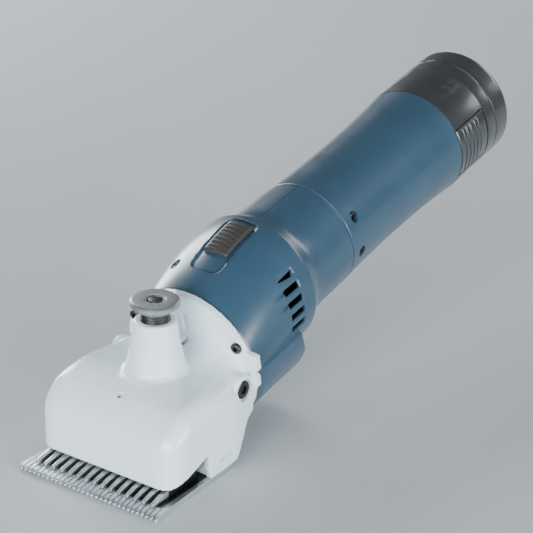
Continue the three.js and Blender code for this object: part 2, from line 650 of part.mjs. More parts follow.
function handleSleeve() {
  const outer = SLEEVE_RADIUS.map(([y, r]) => [r, y]);
  const inner = [
    [26.5, SLEEVE.end], [26.5, SLEEVE.collarSeat - GAP], [SLEEVE.boreR, SLEEVE.collarSeat - 2],
    [SLEEVE.boreR, 104], [25.2, 103], [25.2, SLEEVE.start],
  ];
  const tube = turnedY([...outer, ...inner, outer[0]], 32);
  const holes = SLEEVE_SCREW.heights.flatMap((z) => {
    const between = roundX(3, -sleeveSeatX(z), sleeveSeatX(z), SLEEVE_SCREW.y, z, 16);
    const seats = cut(roundX(2.6, -40, 40, SLEEVE_SCREW.y, z, 16), between);
    return [roundX(1.7, -40, 40, SLEEVE_SCREW.y, z, 12), seats];
  });
  return cut(tube, ...holes);
}

// How far out the seat of a sleeve screw's head is, at the height z.
const sleeveSeatX = (z) => Math.sqrt(27.2 ** 2 - z ** 2) - 1.6;

function endCollar() {
  const ring = turnedY(
    [
      [SLEEVE.boreR, SLEEVE.collarSeat], [26.2, SLEEVE.collarSeat], [26.2, SLEEVE.end + GAP],
      [BATTERY.r, SLEEVE.end + GAP], [BATTERY.r, BATTERY.rim - GAP], [SLEEVE.boreR, BATTERY.rim - GAP],
      [SLEEVE.boreR, SLEEVE.collarSeat],
    ],
    36,
  );
  const half = PAD.halfZ + 0.35;
  return cut(ring, box(-40, 40, SLEEVE.end + GAP, BATTERY.rim + 1, -half, half));
}

// ---------------------------------------------------------------- battery (handle frame)

const LOBES = [[1, 1], [1, -1], [-1, -1], [-1, 1]].map(([x, z]) => [x * CELLS.pitch, z * CELLS.pitch]);

function clover(r, y0, y1, filling = 8) {
  const lobes = LOBES.map(([x, z]) => roundY(r, y0, y1, x, z, 16));
  return join(...lobes, box(-filling, filling, y0, y1, -filling, filling));
}

function batteryCase() {
  const { start, rim, seam, r } = BATTERY;
  const stem = clover(CELLS.lobeR, start + 1.9, rim + 1);
  const base = roundY(r, rim, seam - GAP / 2, 0, 0, 36);
  const cavity = clover(9.4, start + 3, rim + 2, 7);
  const baseCavity = roundY(r - 2.4, rim + 1.8, seam + 1, 0, 0, 36);
  const windows = CONTACTS.map((a) => box(-1.9, 1.9, 149, 158, 10, 20).rotate([0, a, 0]));
  return cut(join(stem, base), cavity, baseCavity, ...windows);
}

const CONTACTS = [90, 180, 270]; // the valleys that hold a contact: right, underneath and left

const batteryContact = (a) => box(-1.5, 1.5, 149.3, 157.7, 14.4, 15.6).rotate([0, a, 0]);
const cell = ([x, z]) => roundY(CELLS.r, CELLS.start, CELLS.end, x, z, 16);

function batteryTopPlate() {
  const plate = clover(CELLS.lobeR - 0.1, BATTERY.start, BATTERY.start + 1.6);
  return cut(plate, roundY(1.5, BATTERY.start - 1, BATTERY.start + 3, 0, 0, 16));
}

function batteryEndCap() {
  const { r, seam, end, endCorner } = BATTERY;
  const y0 = seam + GAP / 2;
  const rounded = Array.from({ length: 4 }, (_, i) => {
    const a = (Math.PI / 2) * (i / 3);
    return [r - endCorner + endCorner * Math.cos(a), end - endCorner + endCorner * Math.sin(a)];
  });
  return turnedY([[0, end - 3], [r - 2.6, end - 3], [r - 2.6, y0], [r, y0], ...rounded, [0, end]], 36);
}

const batteryBoard = () => cut(roundY(24.5, 212.4, 214, 0, 0, 28), box(-40, 40, 205, 220, 22, 40));

function latchPad(side) {
  const { start, end, halfZ, innerR } = PAD;
  const ring = tubeY(BATTERY.r, innerR, start, end, 48);
  const ribs = Array.from({ length: PAD_RIBS.count }, (_, i) => {
    const y = start + PAD_RIBS.first + PAD_RIBS.pitch * i;
    return tubeY(BATTERY.r + PAD_RIBS.height, BATTERY.r - 1, y, y + PAD_RIBS.width, 48);
  });
  const x0 = side > 0 ? 0 : -40;
  const field = box(x0, x0 + 40, start - 1, end + 1, -halfZ, halfZ);
  const ribField = box(x0, x0 + 40, start - 1, end + 1, -halfZ + 1.5, halfZ - 1.5);
  return join(ring.intersect(field), join(...ribs).intersect(ribField));
}

// ---------------------------------------------------------------- switch, board, terminals and leads (handle frame)

// The slider follows the top of the housing under it, from its sunk underside to its ribbed top.
function switchButton() {
  const { half, front, rear, sunk, proud, ribs, ribHeight } = SWITCH;
  const shellTop = (y) => along(SHELL_RADIUS, y) + bulgeCentre(y);
  const pitch = (rear - front - 3) / ribs;
  const stations = Array.from({ length: ribs + 1 }, (_, i) => front + 1.5 + pitch * i);
  const under = [front, ...stations, rear].map((y) => [y, shellTop(y) - sunk]);
  const over = [[rear, shellTop(rear) + proud - 0.6], [rear - 0.7, shellTop(rear) + proud]];
  for (const y of stations.slice(0, -1).reverse()) {
    const top = shellTop(y + pitch / 2) + proud;
    over.push([y + pitch * 0.75, top], [y + pitch * 0.65, top + ribHeight], [y + pitch * 0.2, top + ribHeight]);
    over.push([y + pitch * 0.1, top]);
  }
  over.push([front + 0.7, shellTop(front) + proud], [front, shellTop(front) + proud - 0.6]);
  const stem = box(-1.2, 1.2, 34.4, 38.4, 27.3, shellTop(35));
  return join(prismX([...under, ...over], -half, half), stem);
}

function switchBody() {
  const pins = [27, 38].map((y) => box(-4, 4, y, y + 2, 18.6, 20.1));
  return join(box(-5.4, 5.4, 25, 42, 20, 26.9), ...pins);
}

function controlBoard() {
  const board = box(-15, 15, 104, 130, -8, -6.4);
  const sink = box(-10, -3, 108, 124, -6.5, 1);
  const capacitor = roundZ(4, -6.5, 4, 7, 118, 20);
  return join(board, sink, capacitor, box(4, 12, 106, 111, -6.5, -3));
}

function terminalBlock() {
  const disc = roundY(23.6, 134, 139, 0, 0, 36);
  const posts = CONTACTS.map((a) => box(-3, 3, 138.9, 142.6, 13.5, 22).rotate([0, a, 0]));
  const slots = CONTACTS.map((a) => box(-1.5, 1.5, 130, 150, 16 - GAP, 17 + GAP).rotate([0, a, 0]));
  return cut(join(disc, ...posts), ...slots);
}

const terminal = (a) => box(-1.2, 1.2, 131.5, 155, 16, 17).rotate([0, a, 0]);

function lead(points, r = 0.9) {
  const curve = new THREE.CatmullRomCurve3(points.map((p) => new THREE.Vector3(...p)));
  const section = new THREE.Shape().absarc(0, 0, r, 0, 2 * Math.PI);
  const options = { steps: 10, extrudePath: curve, curveSegments: 2, bevelEnabled: false };
  return solidOf(new THREE.ExtrudeGeometry(section, options));
}

// ---------------------------------------------------------------- the pieces

place(cutting, "comb", "bright_steel", comb());
place(cutting, "cutter", "bright_steel", cutter());
place(cutting, "comb_screw_left", "dark_steel", combScrew(-COMB_SCREW.x));
place(cutting, "comb_screw_right", "dark_steel", combScrew(COMB_SCREW.x));
place(cutting, "head_casting", "white_head", headCasting());
place(cutting, "pivot_post", "bright_steel", pivotPost());
place(cutting, "drive_lever", "aluminium", lever());
place(cutting, "tension_pin", "bright_steel", tensionPin());
place(cutting, "tension_spring", "bright_steel", tensionSpring());
place(cutting, "spring_cap", "brass", springCap());
place(cutting, "tension_knob", "black_plastic", tensionKnob());

for (const [i, side] of [-1, 1].entries()) {
  const label = ["left", "right"][i];
  place(handle, `flange_screw_${label}`, "dark_steel", flangeScrew(FLANGE_SCREWS[i], 2.6));
  place(handle, `side_screw_${label}`, "dark_steel", sideScrew(side));
  place(handle, `housing_${label}`, "blue_housing", housing(side));
  SLEEVE_SCREW.heights.forEach((height, row) => {
    const screw = socketScrewX(side, sleeveSeatX(height) + 1.2, SLEEVE_SCREW.y, height, 2.3, 0.9, 1.1, 3.2);
    place(handle, `sleeve_screw_${label}_${["upper", "lower"][row]}`, "dark_steel", screw);
  });
  place(handle, `latch_pad_${label}`, "black_plastic", latchPad(side));
}
place(handle, "flange_screw_bottom", "dark_steel", flangeScrew(FLANGE_SCREWS[2], 2.4));
HOUSING_SCREWS.forEach((at, i) => place(handle, `housing_screw_${i + 1}`, "dark_steel", housingScrew(at)));

place(handle, "crank_shaft", "bright_steel", crankShaft());
place(handle, "crank_roller", "brass", crankRoller());
place(handle, "drive_gear", "brass", driveGear());
place(handle, "front_bearing", "bright_steel", bearing(BEARING.frontR, 0.7, 4.5));
place(handle, "rear_bearing", "bright_steel", bearing(BEARING.rearR, 15.8, 19));
place(handle, "gearbox_frame", "aluminium", gearboxFrame());
place(handle, "motor_shaft", "bright_steel", motorShaft());
place(handle, "motor_can", "bright_steel", motorCan());
place(handle, "motor_end_cap", "black_plastic", motorEndCap());
place(handle, "armature", "dark_steel", armature());
place(handle, "cooling_fan", "black_plastic", coolingFan());
place(handle, "handle_sleeve", "blue_housing", handleSleeve());
place(handle, "end_collar", "black_plastic", endCollar());
place(handle, "switch_button", "black_plastic", switchButton());
place(handle, "switch_body", "black_plastic", switchBody());
place(handle, "control_board", "copper_green", controlBoard());
place(handle, "terminal_block", "black_plastic", terminalBlock());
place(handle, "battery_case", "black_plastic", batteryCase());
place(handle, "battery_top_plate", "grey_plastic", batteryTopPlate());
place(handle, "battery_end_cap", "black_plastic", batteryEndCap());
place(handle, "battery_board", "copper_green", batteryBoard());
LOBES.forEach((at, i) => place(handle, `battery_cell_${i + 1}`, "cell_wrap", cell(at)));
CONTACTS.forEach((a, i) => {
  place(handle, `battery_contact_${i + 1}`, "bright_steel", batteryContact(a));
  place(handle, `terminal_blade_${i + 1}`, "brass", terminal(a));
});
const RED_LEAD = [[10, 103.4, -5], [12, 100, -3], [11, 97, 0], [9, 94.6, 0]];
const BLACK_LEAD = [[-12, 103.4, -5], [-14, 100, -3], [-12, 97, 0], [-10, 94.6, 0]];
place(handle, "motor_lead_red", "lead_red", lead(RED_LEAD));
place(handle, "motor_lead_black", "lead_black", lead(BLACK_LEAD));

// The tool's length along y, from the comb's tips to the lowest part of the battery's rounded end.
function toolLength() {
  const { r, end, endCorner } = BATTERY;
  return HANDLE_AT.y + (end - endCorner) * Math.cos(TILT) + (r - endCorner) * Math.sin(TILT) + endCorner;
}
cutting.position.y = -toolLength() / 2;

export default root;
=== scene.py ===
import json
import math

import bmesh
import bpy
import numpy as np
from mathutils import Matrix, Vector


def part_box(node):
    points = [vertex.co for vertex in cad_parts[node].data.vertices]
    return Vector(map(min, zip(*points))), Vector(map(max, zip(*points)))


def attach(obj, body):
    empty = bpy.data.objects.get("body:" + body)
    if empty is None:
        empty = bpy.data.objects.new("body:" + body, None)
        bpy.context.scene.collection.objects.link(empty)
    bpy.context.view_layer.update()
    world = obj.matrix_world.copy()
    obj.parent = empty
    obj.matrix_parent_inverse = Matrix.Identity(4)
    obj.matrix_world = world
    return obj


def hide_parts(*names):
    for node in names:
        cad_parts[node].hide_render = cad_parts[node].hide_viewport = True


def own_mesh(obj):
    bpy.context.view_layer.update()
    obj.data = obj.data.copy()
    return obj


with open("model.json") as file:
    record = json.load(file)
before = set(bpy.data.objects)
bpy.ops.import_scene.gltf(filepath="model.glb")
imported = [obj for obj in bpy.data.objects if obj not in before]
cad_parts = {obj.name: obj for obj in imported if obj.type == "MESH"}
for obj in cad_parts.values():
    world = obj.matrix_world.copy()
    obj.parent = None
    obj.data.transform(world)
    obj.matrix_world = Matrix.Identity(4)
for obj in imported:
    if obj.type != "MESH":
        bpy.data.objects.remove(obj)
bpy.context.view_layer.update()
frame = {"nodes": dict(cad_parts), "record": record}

# ---------------------------------------------------------------- sizes, most of them also the CAD model's

MM = 0.001
TILT = math.radians(10.6)
HANDLE_AT = (74.7, 47.7)
CRANK_DROP = 11.4
TIPS_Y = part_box("comb")[0].y / MM

HEAD = {"front": 12, "rear": 74, "wall": 3.2, "cavity_front": 15.4}
SLIT = {"inner": 35.4, "y": (45.5, 57), "z": (8.4, 9.8)}
OIL_HOLE = {"r": 1.7, "at": (24.6, 69.4)}
COMB = {
    "tip_half": 38.2, "neck_half": 37.4, "rear_half": 36, "length": 60, "thick": 3.2, "teeth": 31, "root": 14,
}
COMB_SCREW = {"x": 18, "y": 50}
# Distances from the comb's tips. The tops of comb and cutter keep the steel's colour up to them; behind them,
# painted shade darkens the tops, standing in for the shadow under the head.
PAINTED_SHADE_FROM_TIPS = {"comb": 6.5, "cutter": 15}
PAINTED_SHADE_LIMITS = {"half": 0.0345, "low": 0.0024}      # metres: where the painted shade starts, across and upwards
TOWER = {"y": 49, "base_r": 12.8, "top_r": 9.4, "seat": 42, "high": 65.5, "bore_r": 6.8}
KNOB = {"rim_r": 10.9, "low": 70, "high": 75.3, "stem_r": 6.5, "stem_low": 64.3}
FLANGE = {"r": 34.6, "thick": 3.2, "screw_x": 28, "screw_z": 4.3, "seat_r": 3.1, "lug": 37.6, "swell": 36.6}
SIDE_SCREW = {"y": -10.8, "z": -CRANK_DROP, "recess_r": 5.2, "head_r": 4.2, "seat": 33.4, "top": 35}
BOSS = {"end": 35.4, "left_r": 6.2, "right_r": 7.2}
SHELL = {"wall": 2.5, "vent_wall": 1.2, "r": 33, "bulge_y": 45, "front": 0.4, "seam": 88.9}
KEEL = {"r": 34, "rear": 36.8, "slant": 3.4}
SLEEVE = {"start": 89.3, "end": 184.4, "bore_r": 24.2}
SLEEVE_SCREW = {"y": 97, "heights": (13, -5)}
BATTERY = {"rim": 209.6, "seam": 217.4, "end": 231.6, "r": 28.7}
PAD = {"start": 184.8, "end": 209.2, "half": 12.7, "inner_r": 25}
SWITCH = {"half": 6.2, "front": 23, "rear": 44.6, "sunk": 0.85, "proud": 1.1, "ribs": 7, "rib_height": 0.5}
RECESS = {"half": 8.2, "front": 13, "rear": 47, "depth": 1.2, "corner": 4.2}
VENTS = {"angles": (57.5, 68.7, 79.9, 91.1, 102.3), "start": 31.2, "end": 41.2, "width": 3.3}
HOUSING_SCREWS = ((15.7, -32), (76, -90))
HOUSING_SCREW = {"recess_r": 2.9, "seat": 1.8, "head_r": 2.4}

SHELL_RADIUS = (
    (0.4, 32.6), (1.6, 33), (45, 33), (49.4, 32.9), (51.4, 32.1), (54.5, 30.5), (57, 29.3), (60, 28.6),
    (66, 28.1), (78, 27.9), (88.9, 27.7),
)
SLEEVE_RADIUS = ((89.3, 27.6), (106, 26.9), (130, 26.6), (154, 26.9), (170, 27.6), (184.4, 28.6))
HEAD_TOP = (
    (12, 22), (12.6, 25), (14, 28.8), (17, 33), (20.5, 36.3), (25, 39.2), (32, 41), (42, 42), (56, 42),
    (63, 43), (68, 45.5), (71.5, 49), (74, 53),
)
HEAD_HALF = (
    (12, 28.4), (12.6, 31.6), (14, 34.2), (17, 36.4), (20.5, 37.4), (25, 37.8), (42, 37.8), (56, 37.2),
    (63, 36.4), (68, 35.6), (74, 34.6),
)
HEAD_LOW = ((12, 8), (38.8, 8), (39, 3.5), (60, 3.5), (69, 19), (74, 21))
HEAD_CORNER = ((12, 5), (18, 7.5), (42, 9), (56, 11), (63, 14.5), (68, 18), (71.5, 22), (74, 25))


def cutting(points):
    """Points of the cutting frame, in metres in the row's frame."""
    return (np.asarray(points, float) + (0, TIPS_Y, 0)) * MM


def handle(points):
    """Points of the handle frame, in metres in the row's frame."""
    x, y, z = np.moveaxis(np.asarray(points, float), -1, 0)
    back = HANDLE_AT[0] + y * math.cos(TILT) - z * math.sin(TILT)
    up = HANDLE_AT[1] + y * math.sin(TILT) + z * math.cos(TILT)
    return cutting(np.stack((x, back, up), -1))


# ---------------------------------------------------------------- curves and profiles

def curve_through(table):
    """A smooth curve through (position, value) pairs that doesn't overshoot them."""
    x, y = np.array(table, float).T
    step = np.diff(x)
    slope = np.diff(y) / step
    tangent = np.concatenate((slope[:1], np.zeros(len(x) - 2), slope[-1:]))
    same = slope[:-1] * slope[1:] > 0
    near, far = slope[:-1][same], slope[1:][same]
    tangent[1:-1][same] = 2 * near * far / (near + far)

    def value(at):
        at = np.clip(np.asarray(at, float), x[0], x[-1])
        i = np.clip(np.searchsorted(x, at) - 1, 0, len(x) - 2)
        h = step[i]
        t = (at - x[i]) / h
        return (
            (2 * t**3 - 3 * t**2 + 1) * y[i] + (t**3 - 2 * t**2 + t) * h * tangent[i]
            + (3 * t**2 - 2 * t**3) * y[i + 1] + (t**3 - t**2) * h * tangent[i + 1]
        )

    return value


def straight_through(table):
    x, y = np.array(table, float).T
    return lambda at: np.interp(at, x, y)


def smoothstep(low, high, value):
    t = np.clip((np.asarray(value, float) - low) / (high - low), 0, 1)
    return t * t * (3 - 2 * t)


def filleted(points, radius, steps=4, closed=False):
    """A polyline with its corners rounded. radius is one number, or one for each point."""
    points = [Vector((*p, 0)) for p in points]
    radii = radius if hasattr(radius, "__len__") else [radius] * len(points)
    out = []
    for i, corner in enumerate(points):
        if not closed and i in (0, len(points) - 1):
            out.append(corner)
            continue
        to_last = points[i - 1] - corner
        to_next = points[(i + 1) % len(points)] - corner
        half = to_last.angle(to_next) / 2
        r = radii[i]
        if r <= 0 or half > math.radians(86):
            out.append(corner)
            continue
        reach = min(r / math.tan(half), to_last.length * 0.48, to_next.length * 0.48)
        start = corner + to_last.normalized() * reach
        end = corner + to_next.normalized() * reach
        for k in range(steps + 1):
            t = k / steps
            out.append((1 - t) ** 2 * start + 2 * t * (1 - t) * corner + t * t * end)
    return [(p.x, p.y) for p in out]


# ---------------------------------------------------------------- meshes

def mesh_object(name, points, faces):
    mesh = bpy.data.meshes.new(name)
    mesh.from_pydata(np.asarray(points).reshape(-1, 3).tolist(), [], faces)
    obj = bpy.data.objects.new(name, mesh)
    bpy.context.scene.collection.objects.link(obj)
    return obj


def tidied(obj, merge=1e-7):
    """Merges points that coincide and turns all faces outwards."""
    bm = bmesh.new()
    bm.from_mesh(obj.data)
    bmesh.ops.remove_doubles(bm, verts=bm.verts, dist=merge)
    bmesh.ops.dissolve_degenerate(bm, edges=bm.edges, dist=merge)
    bmesh.ops.recalc_face_normals(bm, faces=bm.faces)
    bm.to_mesh(obj.data)
    bm.free()
    return obj


def skin(name, rings, place, loop=False):
    """A closed skin over rings with the same number of points. A loop joins the last ring to the first."""
    rings = np.asarray(rings, float)
    count, sides = rings.shape[:2]
    last = count if loop else count - 1
    faces = []
    for i in range(last):
        a, b = i * sides, ((i + 1) % count) * sides
        faces += [(a + j, a + (j + 1) % sides, b + (j + 1) % sides, b + j) for j in range(sides)]
    if not loop:
        faces += [tuple(range(sides)), tuple(range((count - 1) * sides, count * sides))]
    return tidied(mesh_object(name, place(rings), faces))


def turned(name, profile, place, about="y", centre=(0, 0), sides=96, relief=None):
    """A body of revolution. profile is [radius, position] pairs from axis to axis, or a loop off the axis.
    relief, if given, is added to the radius: a function of the angle from the top and the position."""
    angle = np.linspace(0, 2 * math.pi, sides, endpoint=False)
    r, at = np.array(profile, float).T
    r, at, angle = np.broadcast_arrays(r[:, None], at[:, None], angle[None])
    if relief is not None:
        r = r + relief(angle, at, r)
    u, v = centre[0] + r * np.sin(angle), centre[1] + r * np.cos(angle)
    axes = {"y": (u, at, v), "z": (u, v, at), "x": (at, u, v)}[about]
    loop = profile[0][0] > 1e-6
    return skin(name, np.stack(axes, -1), place, loop)


def block(name, x, y, z, place):
    """A plain box, used only to cut other pieces."""
    corners = [(a, b, c) for a in x for b in y for c in z]
    faces = [(0, 1, 3, 2), (4, 6, 7, 5), (0, 4, 5, 1), (2, 3, 7, 6), (0, 2, 6, 4), (1, 5, 7, 3)]
    return tidied(mesh_object(name, place(corners), faces))


def prism(name, outline, span, place, along="x"):
    """An outline swept along one axis. The outline is in the other two, in x, y, z order."""
    order = {"x": lambda p, s: (s, *p), "y": lambda p, s: (p[0], s, p[1]), "z": lambda p, s: (*p, s)}[along]
    rings = [[order(p, s) for p in outline] for s in span]
    return skin(name, rings, place)


def applied(obj):
    """Replaces the mesh with what its modifiers make of it."""
    graph = bpy.context.evaluated_depsgraph_get()
    mesh = bpy.data.meshes.new_from_object(obj.evaluated_get(graph))
    old = obj.data
    obj.modifiers.clear()
    obj.data = mesh
    bpy.data.meshes.remove(old)
    return obj


def combined(obj, tools, operation):
    for tool in tools:
        step = obj.modifiers.new("combine", "BOOLEAN")
        step.object = tool
        step.operation = operation
        step.solver = "EXACT"
    applied(obj)
    for tool in tools:
        bpy.data.objects.remove(tool)
    return obj


def cut(obj, *tools):
    return combined(obj, tools, "DIFFERENCE")


def joined(obj, *tools):
    return combined(obj, tools, "UNION")


def cast(obj, voxel, rounds):
    """Runs the joints of a mesh into each other, as in a casting: one even skin, relaxed."""
    remesh = obj.modifiers.new("remesh", "REMESH")
    remesh.mode = "VOXEL"
    remesh.voxel_size = voxel * MM
    relax = obj.modifiers.new("relax", "SMOOTH")
    relax.factor = 0.5
    relax.iterations = rounds
    return applied(obj)


def bevelled(obj, width, segments=2, angle=35):
    step = obj.modifiers.new("bevel", "BEVEL")
    step.width = width * MM
    step.segments = segments
    step.limit_method = "ANGLE"
    step.angle_limit = math.radians(angle)
    step.harden_normals = False
    return applied(obj)


def shaded(obj, angle=38):
    """Smooth shading that keeps edges sharper than the angle."""
    obj.data.polygons.foreach_set("use_smooth", [True] * len(obj.data.polygons))
    obj.data.set_sharp_from_angle(angle=math.radians(angle))
    return obj


def show(obj, look, slot, body, *nodes, angle=38):
    """Finishes a piece: its shading, material, body and the CAD nodes that it stands for."""
    obj.data.materials.clear()
    obj.data.materials.append(look)
    shaded(obj, angle)
    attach(obj, body)
    if nodes:
        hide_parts(*nodes)
    return obj


# ---------------------------------------------------------------- materials

class Graph:
    """A small help for node materials, in the object's own coordinates in metres."""

    def __init__(self, name, turn=0.0):
        self.material = bpy.data.materials.new(name)
        self.material.use_nodes = True
        self.nodes = self.material.node_tree.nodes
        self.links = self.material.node_tree.links
        self.shader = self.nodes["Principled BSDF"]
        where = self.nodes.new("ShaderNodeTexCoord")
        self.place = self.nodes.new("ShaderNodeMapping")
        self.place.inputs["Rotation"].default_value = (-turn, 0, 0)
        self.links.new(where.outputs["Object"], self.place.inputs["Vector"])

    def noise(self, scale, stretch=(1, 1, 1), detail=3, roughness=0.5):
        stretched = self.nodes.new("ShaderNodeVectorMath")
        stretched.operation = "MULTIPLY"
        stretched.inputs[1].default_value = stretch
        self.links.new(self.place.outputs["Vector"], stretched.inputs[0])
        texture = self.nodes.new("ShaderNodeTexNoise")
        texture.inputs["Scale"].default_value = scale
        texture.inputs["Detail"].default_value = detail
        texture.inputs["Roughness"].default_value = roughness
        self.links.new(stretched.outputs["Vector"], texture.inputs["Vector"])
        return texture.outputs["Fac"]

    def spots(self, scale, threshold, softness):
        """Sparse specks, from the cells of a Voronoi pattern."""
        texture = self.nodes.new("ShaderNodeTexVoronoi")
        texture.inputs["Scale"].default_value = scale
        self.links.new(self.place.outputs["Vector"], texture.inputs["Vector"])
        return self.ranged(texture.outputs["Distance"], threshold, threshold + softness, 1, 0)

    def ranged(self, value, low, high, to_low, to_high):
        node = self.nodes.new("ShaderNodeMapRange")
        for socket, number in zip(node.inputs[1:5], (low, high, to_low, to_high)):
            socket.default_value = number
        self.links.new(value, node.inputs[0])
        return node.outputs[0]

    def mixed(self, factor, first, second):
        node = self.nodes.new("ShaderNodeMix")
        node.data_type = "RGBA"
        self.links.new(factor, node.inputs["Factor"])
        for socket, colour in ((node.inputs[6], first), (node.inputs[7], second)):
            if isinstance(colour, bpy.types.NodeSocket):
                self.links.new(colour, socket)
            else:
                socket.default_value = (*colour, 1)
        return node.outputs[2]

    def edges(self, low=0.52, high=0.6):
        """One where an edge stands out, zero elsewhere."""
        geometry = self.nodes.new("ShaderNodeNewGeometry")
        return self.ranged(geometry.outputs["Pointiness"], low, high, 0, 1)

    def product(self, first, second):
        node = self.nodes.new("ShaderNodeMath")
        node.operation = "MULTIPLY"
        self.links.new(first, node.inputs[0])
        self.links.new(second, node.inputs[1])
        return node.outputs[0]

    def bump(self, height, depth, normal=None):
        node = self.nodes.new("ShaderNodeBump")
        node.inputs["Distance"].default_value = depth
        self.links.new(height, node.inputs["Height"])
        if normal is not None:
            self.links.new(normal, node.inputs["Normal"])
        return node.outputs["Normal"]

    def finish(self, colour, roughness, normal, **fixed):
        self.links.new(colour, self.shader.inputs["Base Color"])
        self.links.new(roughness, self.shader.inputs["Roughness"])
        self.links.new(normal, self.shader.inputs["Normal"])
        for socket, value in fixed.items():
            self.shader.inputs[socket.replace("_", " ")].default_value = value
        return self.material


def darker(colour, share):
    return tuple(c * share for c in colour)


def paint(name, colour):
    """Gloss enamel on a casting: slow waves of the surface, faint orange peel and a few dust marks."""
    g = Graph(name)
    tone = g.ranged(g.noise(35, detail=2), 0.3, 0.7, 0, 1)
    dust = g.product(g.spots(420, 0.07, 0.05), g.ranged(g.noise(60), 0.55, 0.7, 0, 0.5))
    base = g.mixed(tone, darker(colour, 0.96), colour)
    base = g.mixed(dust, base, darker(colour, 0.7))
    roughness = g.ranged(g.noise(160, detail=5), 0.25, 0.75, 0.2, 0.34)
    peel = g.bump(g.noise(1100, detail=2), 0.000012)
    normal = g.bump(g.noise(120, detail=2), 0.00008, peel)
    return g.finish(base, roughness, normal, Coat_Weight=0.35, Coat_Roughness=0.12, IOR=1.5)


def plastic(name, colour, rough=(0.34, 0.46), grain=3600, depth=0.000014, coat=0.0, worn=0.25):
    """Moulded plastic: spark-eroded grain, slow tone changes, rubbed edges and hair-thin scuffs."""
    g = Graph(name, TILT)
    tone = g.ranged(g.noise(28, detail=3), 0.3, 0.7, 0, 1)
    scuffs = g.ranged(g.noise(240, (6, 0.5, 6), detail=6, roughness=0.7), 0.6, 0.72, 0, worn)
    base = g.mixed(tone, darker(colour, 0.9), darker(colour, 1.08))
    base = g.mixed(scuffs, base, tuple(min(1, c * 1.5 + 0.015) for c in colour))
    base = g.mixed(g.product(g.edges(), g.ranged(g.noise(300), 0.4, 0.7, 0, 0.6)), base,
                   tuple(min(1, c * 1.9 + 0.03) for c in colour))
    roughness = g.ranged(g.noise(90, detail=4), 0.25, 0.75, *rough)
    fine = g.bump(g.noise(grain, detail=1), depth)
    normal = g.bump(g.noise(70, detail=2), 0.00006, fine)
    return g.finish(base, roughness, normal, Coat_Weight=coat, Coat_Roughness=0.2)


def steel(name, colour, rough=(0.22, 0.36), lay=(1, 0.03, 1), stain=0.35, turn=0.0, painted_shade_from=None):
    """Ground steel: a lay of fine lines and patches of handling stain. Behind a given distance, painted shade
    darkens its top, for the shadow under the head.
    """
    g = Graph(name, turn)
    lines = g.noise(5200, lay, detail=4, roughness=0.65)
    patches = g.ranged(g.noise(95, detail=5, roughness=0.6), 0.42, 0.7, 0, stain)
    base = g.mixed(patches, colour, darker(colour, 0.62))
    base = g.mixed(g.ranged(lines, 0.35, 0.65, 0, 0.3), base, darker(colour, 0.8))
    # Painted shade: within the comb's width and above its lowest 2.4 mm, everything behind the given distance
    # is darkened to 8 percent of the colour, for the head's shadow.
    if painted_shade_from is not None:
        where = g.nodes.new("ShaderNodeSeparateXYZ")
        g.links.new(g.place.outputs["Vector"], where.inputs["Vector"])
        across = g.nodes.new("ShaderNodeMath")
        across.operation = "ABSOLUTE"
        g.links.new(where.outputs["X"], across.inputs[0])
        painted_shade_mask = g.ranged(where.outputs["Y"], painted_shade_from, painted_shade_from + 0.0015, 0, 1)
        painted_shade_mask = g.product(painted_shade_mask, g.ranged(across.outputs[0], PAINTED_SHADE_LIMITS["half"], PAINTED_SHADE_LIMITS["half"] + 0.0007, 1, 0))
        painted_shade_mask = g.product(painted_shade_mask, g.ranged(where.outputs["Z"], PAINTED_SHADE_LIMITS["low"], PAINTED_SHADE_LIMITS["low"] + 0.0006, 0, 1))
        base = g.mixed(painted_shade_mask, base, darker(colour, 0.08))
    roughness = g.ranged(g.noise(140, detail=4), 0.25, 0.75, *rough)
    return g.finish(base, roughness, g.bump(lines, 0.000012), Metallic=1.0)


def metal(name, colour, rough=(0.28, 0.42), grain=1500, depth=0.00001, turn=TILT):
    """Machined or cast metal without a lay."""
    g = Graph(name, turn)
    patches = g.ranged(g.noise(120, detail=5), 0.35, 0.7, 0, 0.6)
    base = g.mixed(patches, colour, darker(colour, 0.72))
    base = g.mixed(g.edges(), base, tuple(min(1, c * 1.35) for c in colour))
    roughness = g.ranged(g.noise(260, detail=4), 0.25, 0.75, *rough)
    return g.finish(base, roughness, g.bump(g.noise(grain, detail=3), depth), Metallic=1.0)


